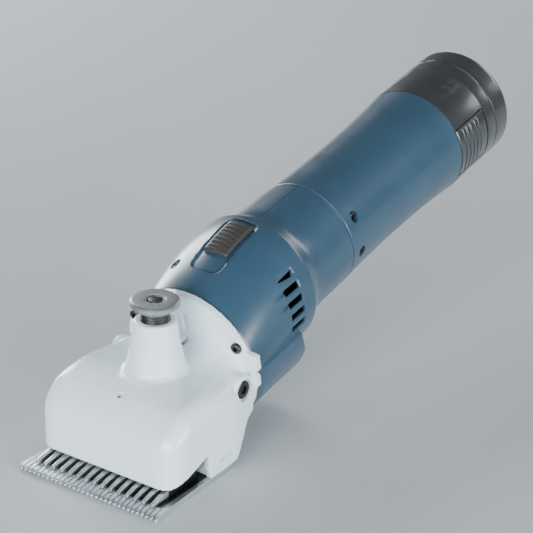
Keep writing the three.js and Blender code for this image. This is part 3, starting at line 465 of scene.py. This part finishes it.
LOOKS = {
    "head_white": paint("head_enamel", (0.8, 0.9, 0.95)),
    "housing_blue": plastic("housing_plastic", (0.028, 0.07, 0.115), (0.28, 0.4), coat=0.4),
    "battery_black": plastic("battery_plastic", (0.026, 0.029, 0.032), (0.26, 0.38), 2600, 0.000006,
                             coat=1.0, worn=0.12),
    "inner_black": plastic("inner_plastic", (0.02, 0.02, 0.021), (0.4, 0.55)),
    "switch_black": plastic("switch_plastic", (0.035, 0.034, 0.031), (0.38, 0.5), 3000, 0.00002),
    "plate_grey": plastic("plate_plastic", (0.4, 0.415, 0.45), (0.35, 0.48)),
    "cell_wrap": plastic("cell_sleeve", (0.04, 0.3, 0.36), (0.24, 0.34), 900, 0.00001, 0.3),
    "board_green": plastic("board_laminate", (0.02, 0.13, 0.06), (0.3, 0.45), 1500, 0.00002),
    "lead_red": plastic("red_insulation", (0.42, 0.02, 0.015), (0.35, 0.45)),
    "lead_black": plastic("black_insulation", (0.015, 0.015, 0.016), (0.35, 0.45)),
    # Comb and cutter: painted shade darkens their tops behind a distance from the tips, for the shadow of the
    # head.
    "cutting_steel": steel("comb_steel", (0.7, 0.75, 0.77), (0.34, 0.48),
                           painted_shade_from=(TIPS_Y + PAINTED_SHADE_FROM_TIPS["comb"]) * MM),
    "cutter_steel": steel("cutter_steel", (0.6, 0.63, 0.64), (0.3, 0.44), (0.03, 1, 1), 0.4,
                          painted_shade_from=(TIPS_Y + PAINTED_SHADE_FROM_TIPS["cutter"]) * MM),
    "machined_steel": steel("machined_steel", (0.6, 0.61, 0.62), (0.2, 0.32), (1, 0.05, 1), 0.2, TILT),
    "spring_steel": metal("spring_wire", (0.42, 0.43, 0.44), (0.22, 0.32)),
    "screw_steel": metal("blackened_screw", (0.09, 0.09, 0.092), (0.3, 0.45)),
    "knob_grey": metal("knob_metal", (0.36, 0.38, 0.4), (0.42, 0.55), 2400, 0.000012),
    "knob_neck": metal("knob_neck_metal", (0.1, 0.102, 0.1), (0.35, 0.5), 2400, 0.000012),
    "gear_brass": metal("gear_brass_metal", (0.72, 0.52, 0.22), (0.24, 0.34)),
    "frame_aluminium": metal("frame_casting", (0.62, 0.63, 0.64), (0.38, 0.5), 900, 0.00004),
    "armature_steel": steel("armature_laminations", (0.2, 0.17, 0.14), (0.4, 0.55), (1, 30, 1), 0.5, TILT),
}

# ---------------------------------------------------------------- camera, light and floor

PHOTO_SPAN = 190.0          # how much of the picture the view takes in, against a focal length of 793.9
FOCAL = 793.9
VIEW = {"azimuth": 34.7, "elevation": 26.0, "roll": 0.9, "distance": 1051.0, "aim": (0, 150, 30)}
CENTRE_OFFSET = (-7.9, 15.7)


def make_camera():
    a, e, roll = (math.radians(VIEW[k]) for k in ("azimuth", "elevation", "roll"))
    back = Vector((math.sin(a) * math.cos(e), -math.cos(a) * math.cos(e), math.sin(e)))
    right = Vector((math.cos(a), math.sin(a), 0))
    up = back.cross(right)
    right, up = (math.cos(roll) * right + math.sin(roll) * up, math.cos(roll) * up - math.sin(roll) * right)
    look = (-back + right * CENTRE_OFFSET[0] / FOCAL + up * CENTRE_OFFSET[1] / FOCAL).normalized()
    right = look.cross(up).normalized()
    up = right.cross(look)
    data = bpy.data.cameras.new("camera")
    data.sensor_width = 36
    data.lens = data.sensor_width * FOCAL / PHOTO_SPAN
    data.clip_start, data.clip_end = 0.05, 20
    camera = bpy.data.objects.new("camera", data)
    bpy.context.scene.collection.objects.link(camera)
    camera.matrix_world = Matrix((right, up, -look)).transposed().to_4x4()
    camera.location = Vector(cutting(VIEW["aim"])) + back * VIEW["distance"] * MM
    bpy.context.scene.camera = camera


def area_light(name, at, towards, size, power, colour=(1, 1, 1)):
    data = bpy.data.lights.new(name, "AREA")
    data.shape = "RECTANGLE"
    data.size, data.size_y = size
    data.energy = power
    data.color = colour
    light = bpy.data.objects.new(name, data)
    bpy.context.scene.collection.objects.link(light)
    light.location = at
    light.rotation_euler = (Vector(towards) - Vector(at)).to_track_quat("-Z", "Y").to_euler()


def make_studio():
    area_light("key", (1.3, -0.25, 0.28), (0, 0.02, 0.06), (1.2, 0.45), 24, (0.93, 0.98, 1))
    area_light("left_fill", (-1.2, 0.45, 0.42), (0, 0.05, 0.07), (0.45, 1.2), 26, (0.93, 0.98, 1))
    area_light("front_fill", (0.15, -1.4, 0.42), (0, -0.13, 0.03), (1.0, 0.5), 28, (0.93, 0.98, 1))
    area_light("rim", (0.3, 1.1, 0.5), (0, 0.05, 0.06), (0.8, 0.3), 3)
    world = bpy.data.worlds.new("studio")
    world.use_nodes = True
    world.node_tree.nodes["Background"].inputs["Color"].default_value = (0.86, 0.9, 0.95, 1)
    world.node_tree.nodes["Background"].inputs["Strength"].default_value = 0.16
    bpy.context.scene.world = world
    floor = mesh_object("floor", [(-8, -8, 0), (8, -8, 0), (8, 8, 0), (-8, 8, 0)], [(0, 1, 2, 3)])
    g = Graph("floor_paper")
    g.finish(
        g.mixed(g.noise(3, detail=2), (0.5, 0.53, 0.56), (0.53, 0.56, 0.59)),
        g.ranged(g.noise(40), 0.3, 0.7, 0.75, 0.9),
        g.bump(g.noise(900, detail=2), 0.00003),
    )
    floor.data.materials.append(g.material)


make_camera()
make_studio()

# ---------------------------------------------------------------- head casting

head_top = curve_through(HEAD_TOP)
head_half = curve_through(HEAD_HALF)
head_low = straight_through(HEAD_LOW)
head_corner = curve_through(HEAD_CORNER)


def rounded_section(y, half, low, high, top_r, low_r, steps=14):
    """A rectangle in x and z with round corners, at one y."""
    points = []
    for quarter, (sx, sz) in enumerate(((1, 1), (1, -1), (-1, -1), (-1, 1))):
        r = top_r if sz > 0 else low_r
        centre_z = high - r if sz > 0 else low + r
        for i in range(steps + 1):
            a = math.pi / 2 * (quarter + i / steps)
            points.append((sx * (half - r) + r * math.sin(a), y, centre_z + r * math.cos(a)))
    return points


def head_body(name, inset=0.0, start=HEAD["front"], end=HEAD["rear"], low=head_low):
    span = end - start
    stations = [start + span * (i / 72) ** 1.6 for i in range(73)]
    rings = []
    for y in stations:
        top_r = max(2.0, float(head_corner(y)) - inset)
        rings.append(rounded_section(
            y, float(head_half(y)) - inset, float(low(y)), float(head_top(y)) - inset, top_r, 0.6))
    return skin(name, rings, cutting)


def head_tower():
    """The tapered tower, with its foot flared into the top of the head."""
    t = TOWER
    slope = (t["base_r"] - t["top_r"]) / (t["high"] - t["seat"])
    foot = [(t["base_r"] + 0.2 + 3.6 * (1 - math.sin(a)), t["seat"] + 3.2 - 3.6 * math.cos(a))
            for a in np.linspace(0, math.pi / 2, 10)]
    side = [(t["top_r"] + slope * (t["high"] - z), z) for z in (52, 60)]
    rim = filleted([side[-1], (t["top_r"], t["high"]), (t["bore_r"] + 1, t["high"])], 1.2)
    profile = [(0, 32), (foot[0][0], 32), *foot, side[0], *rim, (0, t["high"])]
    return turned("tower", profile, cutting, "z", (0, t["y"]), 96)


def flange_outline(r):
    """The flange's disc in x and z. A square lug on the right reaches out past it, with a notch under it."""
    points = []
    for i in range(720):
        a = 2 * math.pi * i / 720
        x, z = r * math.sin(a), -CRANK_DROP + r * math.cos(a)
        lug = smoothstep(-6.9, -5.9, z) * (1 - smoothstep(1.7, 2.7, z))
        swell = smoothstep(-16.5, -14.5, z) * (1 - smoothstep(-9, -8, z))
        reach = abs(x)
        if x > 25:
            reach += lug * (FLANGE["lug"] - reach) + swell * max(0, FLANGE["swell"] - reach)
        points.append((math.copysign(reach, x), z))
    return points


def head_casting():
    f = FLANGE
    body = head_body("head")
    disc = prism("disc", flange_outline(f["r"] - 0.2), (-f["thick"], 0), handle, "y")
    lip = turned("lip", [(f["r"] - 1.6, -1), (f["r"] + 0.1, -1), (f["r"] + 0.1, 0), (f["r"] - 1.6, 0)],
                 handle, "y", (0, -CRANK_DROP), 180)
    s = SIDE_SCREW
    bosses = []
    for side, r in ((-1, BOSS["left_r"]), (1, BOSS["right_r"])):
        near, far = side * 20, side * BOSS["end"]
        profile = filleted([(0, near), (r, near), (r, far), (0, far)], [0, 0, 1.5, 0])
        bosses.append(turned("boss", profile, handle, "x", (s["y"], s["z"]), 48))
    joined(body, head_tower(), disc, lip, *bosses)
    cavity = head_body("cavity", HEAD["wall"], HEAD["cavity_front"], 40, lambda y: -1.0)
    skirt = [(10, 7.6), (13.5, 8), (36.8, 15.7), (37.4, 15), (37.4, -2), (10, -2)]
    windows = [prism("window", skirt, (side * 24, side * 60), cutting) for side in (-1, 1)]
    slits = [
        block("slit", sorted((side * SLIT["inner"], side * 41)), SLIT["y"], SLIT["z"], cutting)
        for side in (-1, 1)
    ]
    cut(body, cavity, *windows, *slits)
    cast(body, voxel=0.5, rounds=5)
    bore = turned("bore", [(0, 48), (TOWER["bore_r"], 48), (TOWER["bore_r"], 70), (0, 70)], cutting, "z",
                  (0, TOWER["y"]), 72)
    recesses, seats = [], []
    for side in (-1, 1):
        seat, out, r = side * s["seat"], side * 45, s["recess_r"]
        profile = [(0, seat), (r, seat), (r + 0.4, out), (0, out)]
        recesses.append(turned("recess", profile, handle, "x", (s["y"], s["z"]), 48))
        floor, r = -f["thick"] - 0.3, f["seat_r"]
        profile = [(0, -20), (r, -20), (r, floor), (0, floor)]
        seats.append(turned("seat", profile, handle, "y", (side * f["screw_x"], f["screw_z"]), 40))
    r = OIL_HOLE["r"]
    profile = [(0, 30), (r, 30), (r, 60), (0, 60)]
    oil = [turned("oil", profile, cutting, "z", (0, y), 24) for y in OIL_HOLE["at"]]
    cut(body, bore, *recesses, *seats, *oil)
    tidied(body)
    return show(body, LOOKS["head_white"], "head_white", "root", "head_casting", angle=30)


# ---------------------------------------------------------------- motor housing

shell_radius = curve_through(SHELL_RADIUS)


def bulge_centre(y):
    return -CRANK_DROP * np.clip(1 - np.asarray(y, float) / SHELL["bulge_y"], 0, 1) ** 1.9


def reach_of_circle(angle, r, centre):
    """How far from the handle's axis a circle lies, in a direction at an angle from the top."""
    return centre * np.cos(angle) + np.sqrt(r**2 - (centre * np.sin(angle)) ** 2)


def rounded_box_distance(u, v, half_u, half_v, corner):
    """Distance to a rounded rectangle's edge, negative inside."""
    du, dv = np.abs(u) - half_u + corner, np.abs(v) - half_v + corner
    return np.hypot(np.maximum(du, 0), np.maximum(dv, 0)) + np.minimum(np.maximum(du, dv), 0) - corner


def housing_surface(angle, y):
    """The housing's outside: how far from the axis it is, with the switch's recess and the vents' edges."""
    r = reach_of_circle(angle, shell_radius(y), bulge_centre(y))
    keel = reach_of_circle(angle, KEEL["r"], -CRANK_DROP)
    ridge = math.atan2(KEEL["r"], -CRANK_DROP)
    flare = smoothstep(ridge - 0.05, ridge, angle)
    lower = -np.minimum(0, keel * np.cos(angle) + CRANK_DROP)
    end = KEEL["rear"] + KEEL["slant"] * smoothstep(0, 13, lower)
    present = 1 - smoothstep(end - 1.1, end + 0.7, y)
    front = smoothstep(-4, 8, y)
    r = r + np.maximum(keel - r, 0) * flare * present * front
    mid = (RECESS["front"] + RECESS["rear"]) / 2
    pocket = rounded_box_distance(
        r * angle, y - mid, RECESS["half"], (RECESS["rear"] - RECESS["front"]) / 2, RECESS["corner"])
    r = r - RECESS["depth"] * (1 - smoothstep(-0.55, 0.35, pocket))
    length = (VENTS["end"] - VENTS["start"]) / 2
    for i, degrees in enumerate(VENTS["angles"]):
        across = r * (angle - math.radians(degrees))
        edge = rounded_box_distance(across, y - VENTS["start"] - length, VENTS["width"] / 2, length, 0.5)
        r = r - 0.3 * (1 - smoothstep(0, 0.6, edge))
        if i in (1, 2):
            tail = smoothstep(VENTS["start"] - 7, VENTS["start"], y) * (y < VENTS["start"])
            r = r - 1.2 * tail * (1 - smoothstep(0.1, 1, np.abs(across + 0.5)))
    return r


def housing_half(side):
    name = "left" if side < 0 else "right"
    start, seam = SHELL["front"], SHELL["seam"]
    near = np.radians((0.1, 0.3, 0.6, 1, 1.7))
    even = np.concatenate(
        (np.arange(2.7, 104.5, 0.9), np.arange(105, 110.9, 0.3), np.arange(111.6, 177.4, 0.9)))
    angles = np.concatenate((near, np.radians(even), math.pi - near[::-1]))
    rows = np.unique(np.concatenate((
        start + np.array((0, 0.12, 0.3, 0.6)), np.arange(1.6, 34, 0.6), np.arange(34, 43, 0.3),
        np.arange(43, 88, 0.7), seam - np.array((0.6, 0.3, 0.12, 0)))))
    angle, y = np.meshgrid(angles, rows)
    r = housing_surface(angle, y)
    inside = np.minimum(y - start, seam - y)
    r = r - 0.6 * (1 - np.sqrt(1 - np.clip(1 - inside / 0.6, 0, 1) ** 2))
    from_split = r * np.minimum(angle, math.pi - angle)
    behind = smoothstep(RECESS["rear"] - 2, RECESS["rear"] + 4, y)
    r = r - (0.02 + 0.2 * behind) * (1 - smoothstep(0.05, 0.45, from_split))
    rings = np.stack((side * np.maximum(r * np.sin(angle), 0.015), y, r * np.cos(angle)), -1)
    half = skin(f"housing_{name}_shell", rings, handle)
    inner_rows = (-2, 4, 10, 18, 26, 30.4, 30.5, 42.4, 42.5, 47, 52, 56, 60, 70, 86)
    turn = np.linspace(0, 2 * math.pi, 48, endpoint=False)
    inner = []
    for at in inner_rows:
        wall = SHELL["vent_wall"] if 30.45 < at < 42.45 else SHELL["wall"] - 0.2
        reach = reach_of_circle(turn, float(shell_radius(at)) - wall, float(bulge_centre(at)))
        inner.append(np.stack((reach * np.sin(turn), np.full_like(turn, at), reach * np.cos(turn)), -1))
    tools = [skin("inner", inner, handle)]
    tools.append(turned("bore", [(0, 80), (22.9, 80), (22.9, 95), (0, 95)], handle, sides=48))
    w, near_end, far_end = VENTS["width"] / 2, VENTS["start"], VENTS["end"]
    for i, degrees in enumerate(VENTS["angles"]):
        if i == 0:
            outline = [(-0.2, near_end), (0.6, near_end), (w + 0.3, far_end - 1.5), (-0.9, far_end)]
        else:
            corners = [(-w, near_end), (w, near_end), (w, far_end), (-w, far_end)]
            outline = filleted(corners, 0.5, 3, closed=True)
        vent = prism("vent", outline, (29, 44), lambda p, d=degrees: handle(spun(p, side * d)), "z")
        tools.append(vent)
    if side < 0:
        for at, degrees in HOUSING_SCREWS:
            floor = float(shell_radius(at)) - HOUSING_SCREW["seat"]
            r = HOUSING_SCREW["recess_r"]
            hole = [(0, floor), (r, floor), (r + 0.2, floor + 10), (0, floor + 10)]
            tools.append(turned("hole", hole, out_of_shell(at, degrees), "z", sides=40))
    cut(half, *tools)
    tidied(half)
    return show(half, LOOKS["housing_blue"], "housing_blue", "root", f"housing_{name}", angle=32)


def out_of_shell(y, degrees):
    """Places points drawn upwards from the shell's centre to point out of it, at an angle from the top."""
    return lambda points: handle(spun(points, degrees) + (0, y, float(bulge_centre(y))))


def spun(points, degrees):
    """Points turned about the handle's axis, from the top towards +x."""
    x, y, z = np.moveaxis(np.asarray(points, float), -1, 0)
    a = math.radians(degrees)
    return np.stack((x * math.cos(a) + z * math.sin(a), y, z * math.cos(a) - x * math.sin(a)), -1)


# ---------------------------------------------------------------- handle sleeve, collar and battery

sleeve_radius = curve_through(SLEEVE_RADIUS)


def sleeve_seat(z):
    return math.sqrt(27.2**2 - z**2) - 1.6


def handle_sleeve():
    s = SLEEVE
    rows = np.linspace(s["start"] + 0.7, s["end"] - 0.7, 70)
    outer = [(float(sleeve_radius(y)), y) for y in rows]
    front_r, rear_r = outer[0][0], outer[-1][0]
    rounding = [0.0, *np.linspace(0, math.pi / 2, 5)[1:]]
    front = [(front_r - 0.6 * (1 - math.sin(a)), s["start"] + 0.6 * (1 - math.cos(a))) for a in rounding]
    rear = [(rear_r - 0.3 * (1 - math.cos(a)), s["end"] - 0.3 * (1 - math.sin(a))) for a in rounding]
    bore = s["bore_r"]
    inner = [(26.5, s["end"]), (26.5, 176), (bore, 174), (bore, 104), (25.2, 103), (25.2, s["start"])]
    tube = turned("handle_sleeve_shell", [*front, *outer, *rear, *inner], handle, sides=144)
    tools = []
    for side in (-1, 1):
        for z in SLEEVE_SCREW["heights"]:
            seat = side * sleeve_seat(z)
            hole = [(0, seat), (2.6, seat), (2.7, side * 40), (0, side * 40)]
            tools.append(turned("hole", hole, handle, "x", (SLEEVE_SCREW["y"], z), 32))
    cut(tube, *tools)
    return show(tidied(tube), LOOKS["housing_blue"], "housing_blue", "root", "handle_sleeve", angle=32)


def end_collar():
    r, start, rim = BATTERY["r"], SLEEVE["end"] + 0.25, BATTERY["rim"] - 0.04
    corners = [(24.2, 176), (26.2, 176), (26.2, start), (r, start), (r, rim), (24.2, rim)]
    profile = filleted(corners, [0, 0, 0, 0.2, 0.02, 0.3], 3, True)
    ring = turned("end_collar_ring", profile, handle, sides=144)
    half = PAD["half"] + 0.45
    notch = block("notch", (-40, 40), (start - 0.01, rim + 1), (-half, half), handle)
    cut(ring, notch)
    bevelled(tidied(ring), 0.16, 2, 50)
    return show(ring, LOOKS["battery_black"], "battery_black", "root", "end_collar", angle=32)


def battery_band():
    """The wide band at the foot of the battery. The stem above it keeps its CAD shape, refined."""
    r, rim, seam = BATTERY["r"], BATTERY["rim"], BATTERY["seam"] - 0.18
    profile = filleted([(0, rim), (r, rim), (r, seam), (26, seam), (26, rim + 3), (0, rim + 3)],
                       [0, 0.02, 0.35, 0.1, 0.1, 0], 4)
    band = turned("battery_band", profile, handle, sides=144)
    return show(tidied(band), LOOKS["battery_black"], "battery_black", "battery", angle=32)


def battery_end_cap():
    r, start, end = BATTERY["r"], BATTERY["seam"] + 0.18, BATTERY["end"]
    turn = np.linspace(0, math.pi / 2, 14)
    corner = [(r - 4.5 + 4.5 * math.cos(a), end - 4.5 + 4.5 * math.sin(a)) for a in turn]
    ring = filleted([(20.5, end), (20, end - 0.5), (19.4, end - 0.5), (18.9, end)], 0.15, 3)
    shoulder = filleted([(26, start), (r, start), (r, start + 4)], 0.35)
    inner = [(0, start + 2), (26, start + 2), (26, start)]
    profile = [*inner, *shoulder, *corner, (22, end), *ring, (10, end), (0, end)]
    cap = turned("battery_end_shell", profile, handle, sides=144)
    return show(tidied(cap), LOOKS["battery_black"], "battery_black", "battery", "battery_end_cap", angle=32)


def latch_pad(side):
    """A pad that lies in the collar's notch, with ribs across it for the fingers."""
    name = "left" if side < 0 else "right"
    p, r = PAD, BATTERY["r"]
    spread = math.asin((p["half"] - 0.05) / r)
    angles = math.pi / 2 + np.linspace(-spread, spread, 61)
    rows = np.linspace(p["start"], p["end"], 110)
    angle, y = np.meshgrid(angles, rows)
    u = r * (angle - math.pi / 2)
    edge = np.minimum(np.minimum(y - p["start"], p["end"] - y), r * spread - np.abs(u))
    reach = r - 0.35 * (1 - smoothstep(0, 0.6, edge))
    field = smoothstep(0.9, 1.8, edge)
    for i in range(5):
        groove = p["start"] + 4.1 + 3.4 * i
        reach = reach + 0.22 * field * (1 - smoothstep(0.8, 1.5, np.abs(y - groove - 1.7))) * (i < 4)
        reach = reach - 0.45 * field * (1 - smoothstep(0.15, 0.6, np.abs(y - groove)))
    outer = np.stack((side * reach * np.sin(angle), y, reach * np.cos(angle)), -1)
    inner_r = p["inner_r"]
    inner = np.stack((side * inner_r * np.sin(angle), y, inner_r * np.cos(angle)), -1)
    rings = np.concatenate((outer, inner[:, ::-1]), 1)
    pad = skin(f"latch_pad_{name}_grip", rings, handle)
    return show(pad, LOOKS["battery_black"], "battery_black", f"latch_{name}", f"latch_pad_{name}", angle=40)


# ---------------------------------------------------------------- knob, switch and screws

def tension_knob():
    """A pale top in a turned rim, over a knurled cone. The dark neck below is a piece of its own."""
    k = KNOB
    low, high, rim = k["low"], k["high"], k["rim_r"]

    def knurl(angle, at, r):
        on_cone = smoothstep(low + 0.1, low + 0.5, at) * (1 - smoothstep(low + 1.6, low + 2, at))
        on_rim = smoothstep(low + 2.7, low + 3, at) * (1 - smoothstep(high - 1.3, high - 1, at))
        on_rim = on_rim * (r > rim - 0.4)
        on_cone = on_cone * (r > k["stem_r"] + 0.6)
        return -0.16 * on_cone * (np.cos(36 * angle) > 0) - 0.12 * on_rim * (0.5 + 0.5 * np.cos(72 * angle))

    cone = [(6.7, low + 0.02), (7.7, low + 0.1), (8.05, low + 0.6), (8.3, low + 1.1), (8.7, low + 1.6),
            (9.6, low + 1.9)]
    side = [(rim - 0.5, low + 2.1), (rim - 0.1, low + 2.35), (rim, low + 2.7), (rim, low + 3.1),
            (rim, low + 3.6), (rim, high - 1.3), (rim, high - 0.9)]
    top = [(rim, high - 0.9), (rim - 0.75, high - 0.12), (4.9, high), (4.6, high - 0.5), (3.7, high - 0.5),
           (3.4, high - 1.9), (0, high - 1.9)]
    top = filleted(top, [0, 0.5, 0.3, 0.2, 0.25, 0.3, 0], 4)
    profile = [(0, low + 0.02), *cone, *side, *top[1:]]
    knob = turned("knob_cap", profile, cutting, "z", (0, TOWER["y"]), 288, knurl)
    show(knob, LOOKS["knob_grey"], "knob_grey", "tension_knob", "tension_knob", angle=34)
    hexagon = [(3.3 * math.cos(a), TOWER["y"] + 3.3 * math.sin(a)) for a in np.radians(range(10, 370, 60))]
    nut = bevelled(prism("knob_nut", hexagon, (high - 1.9, high - 0.3), cutting, "z"), 0.25)
    show(nut, LOOKS["knob_neck"], "knob_grey", "tension_knob", angle=34)
    stem = k["stem_r"]
    rings = [(stem - 0.35 * (i % 2), k["stem_low"] + 0.55 * i) for i in range(1, 10)]
    profile = [(0, k["stem_low"]), (stem - 0.4, k["stem_low"]), *rings, (stem, low - 0.02), (0, low - 0.02)]
    neck = turned("knob_neck", profile, cutting, "z", (0, TOWER["y"]), 96)
    return show(neck, LOOKS["knob_neck"], "knob_grey", "tension_knob", angle=34)


def switch_button():
    """The slider: a low pad that follows the housing under it, with shallow ribs across it."""
    s = SWITCH
    xs = np.concatenate((np.linspace(-s["half"], -s["half"] + 0.8, 5), np.linspace(-4.8, 4.8, 13),
                         np.linspace(s["half"] - 0.8, s["half"], 5)))
    ys = np.linspace(s["front"], s["rear"], 150)
    x, y = np.meshgrid(xs, ys)
    dome = shell_radius(y) + bulge_centre(y) - x**2 / (2 * SHELL["r"])
    low = dome - s["sunk"]
    edge = np.minimum(np.minimum(y - s["front"], s["rear"] - y), s["half"] - np.abs(x))
    height = s["proud"] - 0.9 * (1 - np.sqrt(1 - np.clip(1 - edge / 1.1, 0, 1) ** 2))
    phase = (y - s["front"] - 1.5) / (s["rear"] - s["front"] - 3) * s["ribs"]
    ribs = np.abs(np.sin(math.pi * phase)) ** 0.8 * ((phase > 0) & (phase < s["ribs"]))
    height = height + s["rib_height"] * ribs * smoothstep(0.6, 1.4, edge)
    top = np.stack((x, y, dome + height), -1)
    bottom = np.stack((x, y, low), -1)
    button = skin("switch_slider", np.concatenate((top, bottom[:, ::-1]), 1), handle)
    return show(button, LOOKS["switch_black"], "switch_black", "switch_slider", "switch_button", angle=40)


def screw(name, node, place, at, outward, r, height):
    """A screw's head with rounded rim and a hexagon socket, its top centred at a point and facing outward."""
    profile = filleted([(0, -height), (r, -height), (r, 0), (0, 0)], [0, 0.1, 0.35 * height, 0], 4)
    head = turned(name, profile, lambda p: np.asarray(p), "z", sides=48)
    hexagon = [(0.52 * r * math.cos(a), 0.52 * r * math.sin(a)) for a in np.radians(range(0, 360, 60))]
    socket = prism("socket", hexagon, (-0.65 * height, 1), lambda p: np.asarray(p), "z")
    cut(head, socket)
    turn = Vector((0, 0, 1)).rotation_difference(Vector(outward)).to_matrix()
    points = [turn @ v.co + Vector(at) for v in head.data.vertices]
    for vertex, point in zip(head.data.vertices, place([tuple(p) for p in points])):
        vertex.co = point
    return show(tidied(head), LOOKS["screw_steel"], "screw_steel", "root", node, angle=32)


def screws():
    for side, name in ((-1, "left"), (1, "right")):
        f, s = FLANGE, SIDE_SCREW
        face = (side * f["screw_x"], -f["thick"] - 1.9, f["screw_z"])
        screw(f"flange_{name}_head", f"flange_screw_{name}", handle, face, (0, -1, 0), 2.6, 1.6)
        face = (side * s["top"], s["y"], s["z"])
        screw(f"side_{name}_head", f"side_screw_{name}", handle, face, (side, 0, 0), s["head_r"], 1.5)
        for z, row in zip(SLEEVE_SCREW["heights"], ("upper", "lower")):
            screw(f"sleeve_{name}_{row}_head", f"sleeve_screw_{name}_{row}", handle,
                  (side * (sleeve_seat(z) + 0.9), SLEEVE_SCREW["y"], z), (side, 0, 0), 2.3, 0.9)
    for i, (y, degrees) in enumerate(HOUSING_SCREWS, 1):
        face = (0, 0, float(shell_radius(y)) - HOUSING_SCREW["seat"] + 1.2)
        screw(f"housing_{i}_head", f"housing_screw_{i}", out_of_shell(y, degrees), face, (0, 0, 1),
              HOUSING_SCREW["head_r"], 1)


# ---------------------------------------------------------------- comb

def comb():
    """The ground plate, with fine teeth that taper to blunt round points."""
    c = COMB
    outline = []
    for i in reversed(range(c["teeth"])):
        share = 2 * i / (c["teeth"] - 1) - 1
        tip, root = share * (c["tip_half"] - 0.98), share * (c["neck_half"] - 1.08)
        right = [(root + 1.08, c["root"]), (tip + 0.98, 1.2), (tip + 0.85, 0.35), (tip + 0.55, 0)]
        left = [(tip - 0.55, 0), (tip - 0.85, 0.35), (tip - 0.98, 1.2), (root - 1.08, c["root"])]
        outline += right + left
    rear = [(-c["rear_half"], c["length"] - 3), (-c["rear_half"] + 3, c["length"])]
    outline += rear + [(-x, y) for x, y in reversed(rear)]
    plate = prism("comb_plate", outline, (-1, 5), cutting, "z")
    side = [(-1, 0.75), (1, 0.35), (7, 0), (61, 0), (61, c["thick"]), (5, c["thick"]), (1.5, 2.6), (-1, 1.6)]
    combined(plate, [prism("side", side, (-50, 50), cutting)], "INTERSECT")
    tools = []
    for sign in (-1, 1):
        x, y = sign * COMB_SCREW["x"], COMB_SCREW["y"]
        for r, high in ((2.6, 5), (4.3, 1.9)):
            arc = [(x + r * math.cos(a), y - r * math.sin(a)) for a in np.linspace(0, math.pi, 25)]
            tools.append(prism("slot", [*arc, (x - r, 62), (x + r, 62)], (-1, high), cutting, "z"))
    cut(plate, *tools)
    bevelled(tidied(plate), 0.06, 1, 40)
    return show(plate, LOOKS["cutting_steel"], "cutting_steel", "root", "comb", angle=40)


# ---------------------------------------------------------------- CAD shapes, with real edges

def refined(node, look, slot, body, width):
    """A copy of a CAD node's mesh with its flat faces whole again and its edges broken by a small bevel."""
    mesh = frame["nodes"][node].data.copy()
    obj = bpy.data.objects.new(f"{node}_fine", mesh)
    bpy.context.scene.collection.objects.link(obj)
    bm = bmesh.new()
    bm.from_mesh(mesh)
    bmesh.ops.remove_doubles(bm, verts=bm.verts, dist=1e-6)
    bmesh.ops.dissolve_limit(bm, angle_limit=math.radians(0.5), verts=bm.verts, edges=bm.edges)
    bm.to_mesh(mesh)
    bm.free()
    if node == "battery_case":
        cut(obj, block("base", (-40, 40), (BATTERY["rim"] + 0.1, 240), (-40, 40), handle))
    if width:
        bevelled(obj, width, 2, 40)
    return show(obj, LOOKS[look], slot, body, node, angle=40)


def refined_pieces():
    fine = [
        ("cutter", "cutter_steel", "cutting_steel", 0.18),
        ("comb_screw_left", "screw_steel", "screw_steel", 0.2),
        ("comb_screw_right", "screw_steel", "screw_steel", 0.2),
        ("drive_lever", "frame_aluminium", "frame_aluminium", 0.4),
        ("gearbox_frame", "frame_aluminium", "frame_aluminium", 0.3),
        ("crank_shaft", "machined_steel", "machined_steel", 0.2),
        ("drive_gear", "gear_brass", "gear_brass", 0.08),
        ("motor_shaft", "machined_steel", "machined_steel", 0.06),
        ("cooling_fan", "inner_black", "inner_black", 0.2),
        ("motor_can", "machined_steel", "machined_steel", 0.3),
        ("motor_end_cap", "inner_black", "inner_black", 0.3),
        ("terminal_block", "inner_black", "inner_black", 0.25),
        ("control_board", "board_green", "board_green", 0.1),
        ("switch_body", "inner_black", "inner_black", 0.25),
        ("battery_case", "battery_black", "battery_black", 0.3),
        ("battery_top_plate", "plate_grey", "plate_grey", 0.3),
    ]
    body_of = {n: b for b, ns in frame["record"]["behaviour"]["bodies"].items() for n in ns}
    for node, look, slot, width in fine:
        refined(node, look, slot, body_of[node], width)


def spring():
    """The coil in the tower, refined, on a mesh of its own."""
    coil = refined("tension_spring", "spring_steel", "spring_steel", "root", 0)
    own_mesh(coil)


def painted_nodes():
    """The CAD nodes that stay as they are get the same detailed materials."""
    for node, obj in frame["nodes"].items():
        if obj.hide_render:
            continue
        slot = next(s["material_slot"] for s in frame["record"]["subparts"] if s["node"] == node)
        obj.data.materials.clear()
        obj.data.materials.append(LOOKS[slot])
        shaded(obj)


head_casting()
for side in (-1, 1):
    housing_half(side)
    latch_pad(side)
comb()
handle_sleeve()
end_collar()
battery_band()
battery_end_cap()
tension_knob()
switch_button()
screws()
refined_pieces()
spring()
painted_nodes()
